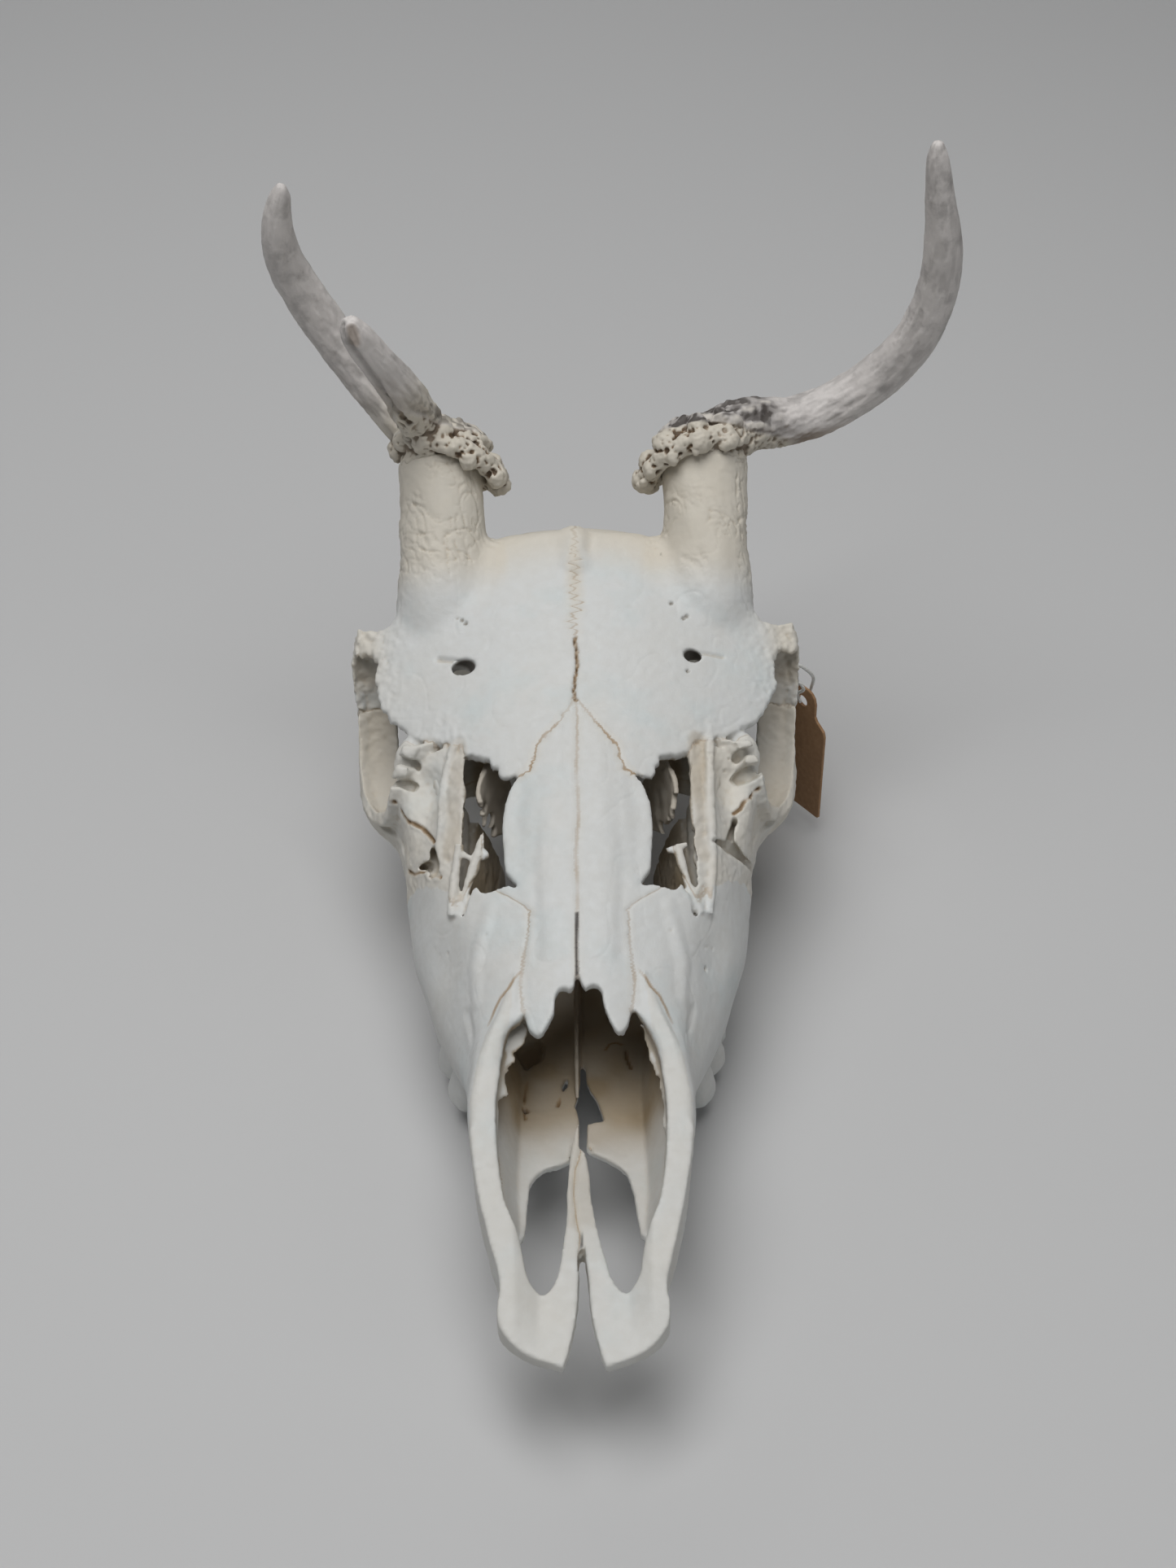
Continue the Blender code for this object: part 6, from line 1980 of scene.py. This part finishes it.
STEPS = (
    step_operator("skin", "Skin", "Joins the skull's bones under one fine skin", build_skin),
    step_operator("forehead", "Forehead", "Shapes the frontals and the pedicles", build_forehead),
    step_operator("nose", "Nasals", "Shapes the nasal bones", build_nose),
    step_operator("snout", "Snout", "Shapes the maxillae and the premaxillae", build_snout),
    step_operator("orbits", "Orbits", "Shapes the lacrimals and the cheek bones", build_orbits),
    step_operator("hind_part", "Brain Case", "Shapes the brain case", build_hind_part),
    step_operator("bones", "Part the Bones", "Stains the bones and parts them at their sutures", build_bones),
    step_operator("keel", "Keel", "Builds the keel inside the nose", build_keel),
    step_operator("scrolls", "Ethmoids", "Builds the torn leaves of the ethmoids", build_scrolls),
    step_operator("antlers", "Antlers", "Builds both antlers", build_antlers),
    step_operator("tag", "Card Tag", "Builds the card tag and its string", build_tag),
    step_operator("stage", "Stage", "Builds the table, the lights and the camera", build_stage),
)


class SKULL_PT_panel(bpy.types.Panel):
    """Lists the skull's settings and steps"""

    bl_label = "Fallow Deer Skull"
    bl_idname = "SKULL_PT_panel"
    bl_space_type = "VIEW_3D"
    bl_region_type = "UI"
    bl_category = "Skull"

    def draw(self, context):
        for place, group in SETTINGS.items():
            box = self.layout.box()
            for name in group.__annotations__:
                box.prop(getattr(context.scene, place), name)
        for step in STEPS:
            self.layout.operator(step.bl_idname)


SETTINGS = {"skull_bones": BoneSettings, "skull_antlers": AntlerSettings, "skull_stage": StageSettings}


def register():
    for thing in (*SETTINGS.values(), *STEPS, SKULL_PT_panel):
        bpy.utils.register_class(thing)
    for name, group in SETTINGS.items():
        setattr(bpy.types.Scene, name, PointerProperty(type=group))


def unregister():
    for name in SETTINGS:
        delattr(bpy.types.Scene, name)
    for thing in reversed((*SETTINGS.values(), *STEPS, SKULL_PT_panel)):
        bpy.utils.unregister_class(thing)


def main():
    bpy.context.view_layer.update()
    register()
    for step in STEPS:
        group, name = step.bl_idname.split(".")
        getattr(getattr(bpy.ops, group), name)()
    work.clear()


if __name__ == "__main__":
    main()
